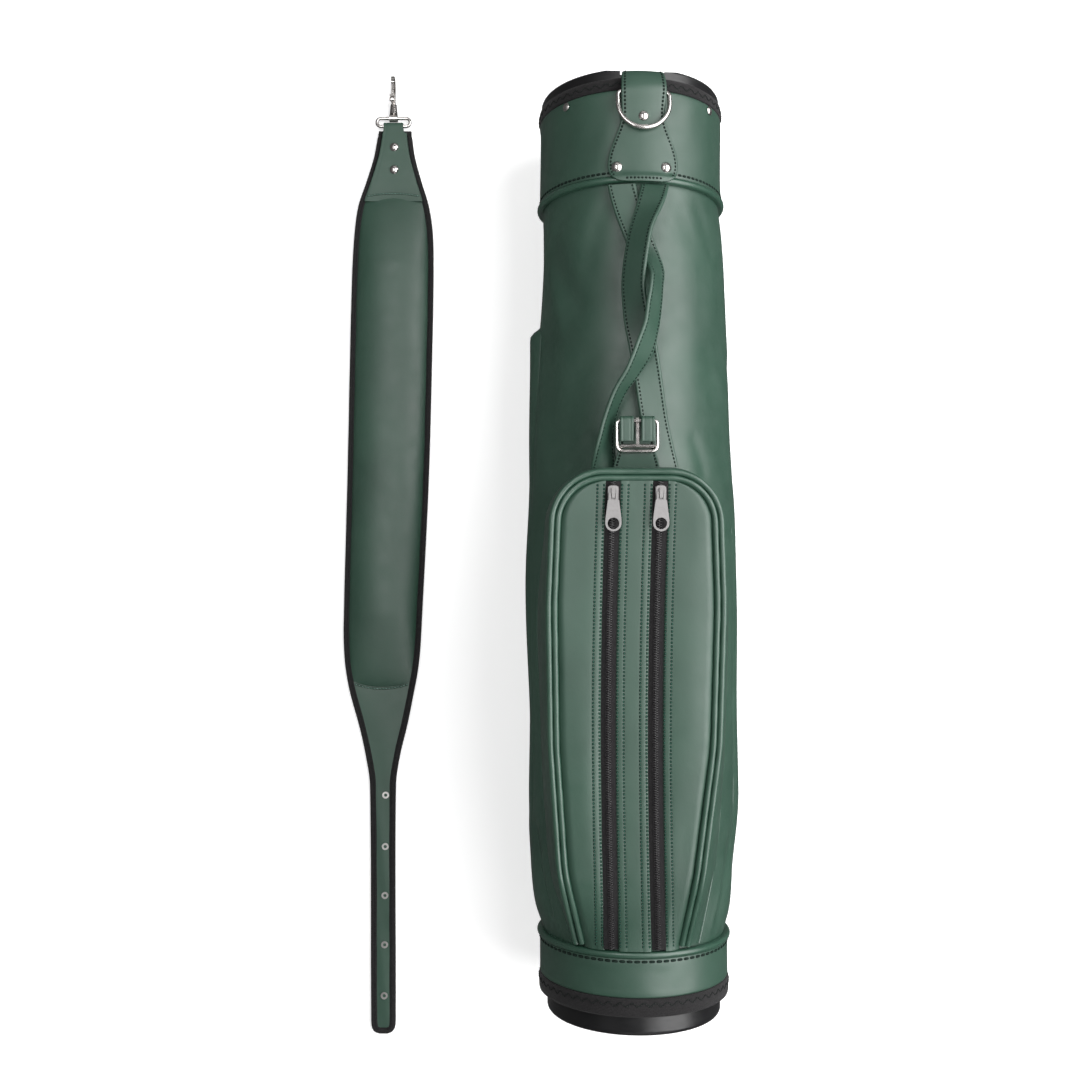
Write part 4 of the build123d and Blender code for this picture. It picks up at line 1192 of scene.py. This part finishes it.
def studio():
    """A pale floor that runs into a round wall, so that low views have a pale background too."""
    mesh = bpy.data.meshes.new("floor")
    reach, wall_top, count = 8.0, 6, 96
    ring = [(reach * cos(a), reach * sin(a)) for a in steps(0, 2 * pi, count)[:-1]]
    verts = [(x, y, z) for z in (0, wall_top) for x, y in ring]
    wall = [(k, (k + 1) % count, count + (k + 1) % count, count + k) for k in range(count)]
    mesh.from_pydata(verts, [], [tuple(range(count)), *wall])
    ground = bpy.data.objects.new("floor", mesh)
    bpy.context.scene.collection.objects.link(ground)
    mesh.materials.append(plain("pale_floor", 0.82, 0.42))
    mesh.materials.append(plain("pale_wall", 0.7, 0.22))
    for face in mesh.polygons[1:]:
        face.material_index = 1
    ground.visible_glossy = False


def area_light(name, place, aim, size, power):
    """A white panel that faces its aim, with its longer side along the bag."""
    data = bpy.data.lights.new(name, "AREA")
    data.shape, data.size, data.size_y = "RECTANGLE", *size
    data.energy = power
    lamp = bpy.data.objects.new(name, data)
    back = (Vector(place) - Vector(aim)).normalized()
    along = (Vector((0, 1, 0)) - back * back.y).normalized()
    turned = Matrix((along.cross(back), along, back)).transposed().to_4x4()
    lamp.matrix_world = Matrix.Translation(place) @ turned
    bpy.context.scene.collection.objects.link(lamp)


def lights():
    world = bpy.data.worlds.new("studio")
    world.use_nodes = True
    background = world.node_tree.nodes["Background"]
    background.inputs["Color"].default_value = (1, 1, 1, 1)
    background.inputs["Strength"].default_value = 0.11
    bpy.context.scene.world = world
    area_light("key_right", (1.25, 0.05, 1.05), (0.1, 0, 0.1), (1.1, 2.6), 43)
    area_light("overhead", (0.70, 0.08, 1.5), (0.1, 0, 0.1), (0.56, 2.4), 14.5)
    area_light("strip_left", (-0.28, 0.3, 1.5), (-0.15, 0.1, 0.1), (0.24, 1.3), 8)
    area_light("fill_left", (-0.9, 0.1, 1.4), (0, 0, 0.1), (0.5, 2.4), 1.6)
    area_light("base_end", (0.35, -1.7, 0.8), (0.1, -0.4, 0.1), (1.2, 0.5), 2)
    area_light("cuff_end", (0.2, 1.9, 0.9), (0.1, 0.3, 0.1), (1.4, 0.7), 2)


def camera():
    data = bpy.data.cameras.new("camera")
    data.sensor_width, data.lens = 36.0, 39.41
    data.clip_start, data.clip_end = 0.05, 50
    eye = bpy.data.objects.new("camera", data)
    above_axis, beside_axis, up_bag, tilt = 1207.3, -93.4, 400.66, 3.1455
    eye.location = bag(beside_axis, up_bag, above_axis)
    eye.rotation_euler = (radians(tilt), 0, 0)
    bpy.context.scene.collection.objects.link(eye)
    bpy.context.scene.camera = eye


def build():
    body_leather()
    liner()
    cuff_and_band()
    divider()
    ring_tab()
    handle()
    buckle_loop()
    pocket_piping()
    pocket_wall()
    pocket_panels()
    for name, spec in SIDE_POCKETS.items():
        side_pocket(name, spec)
    zips()
    shoulder_strap()


build()
studio()
lights()
camera()
bpy.context.scene.view_settings.view_transform = "Standard"
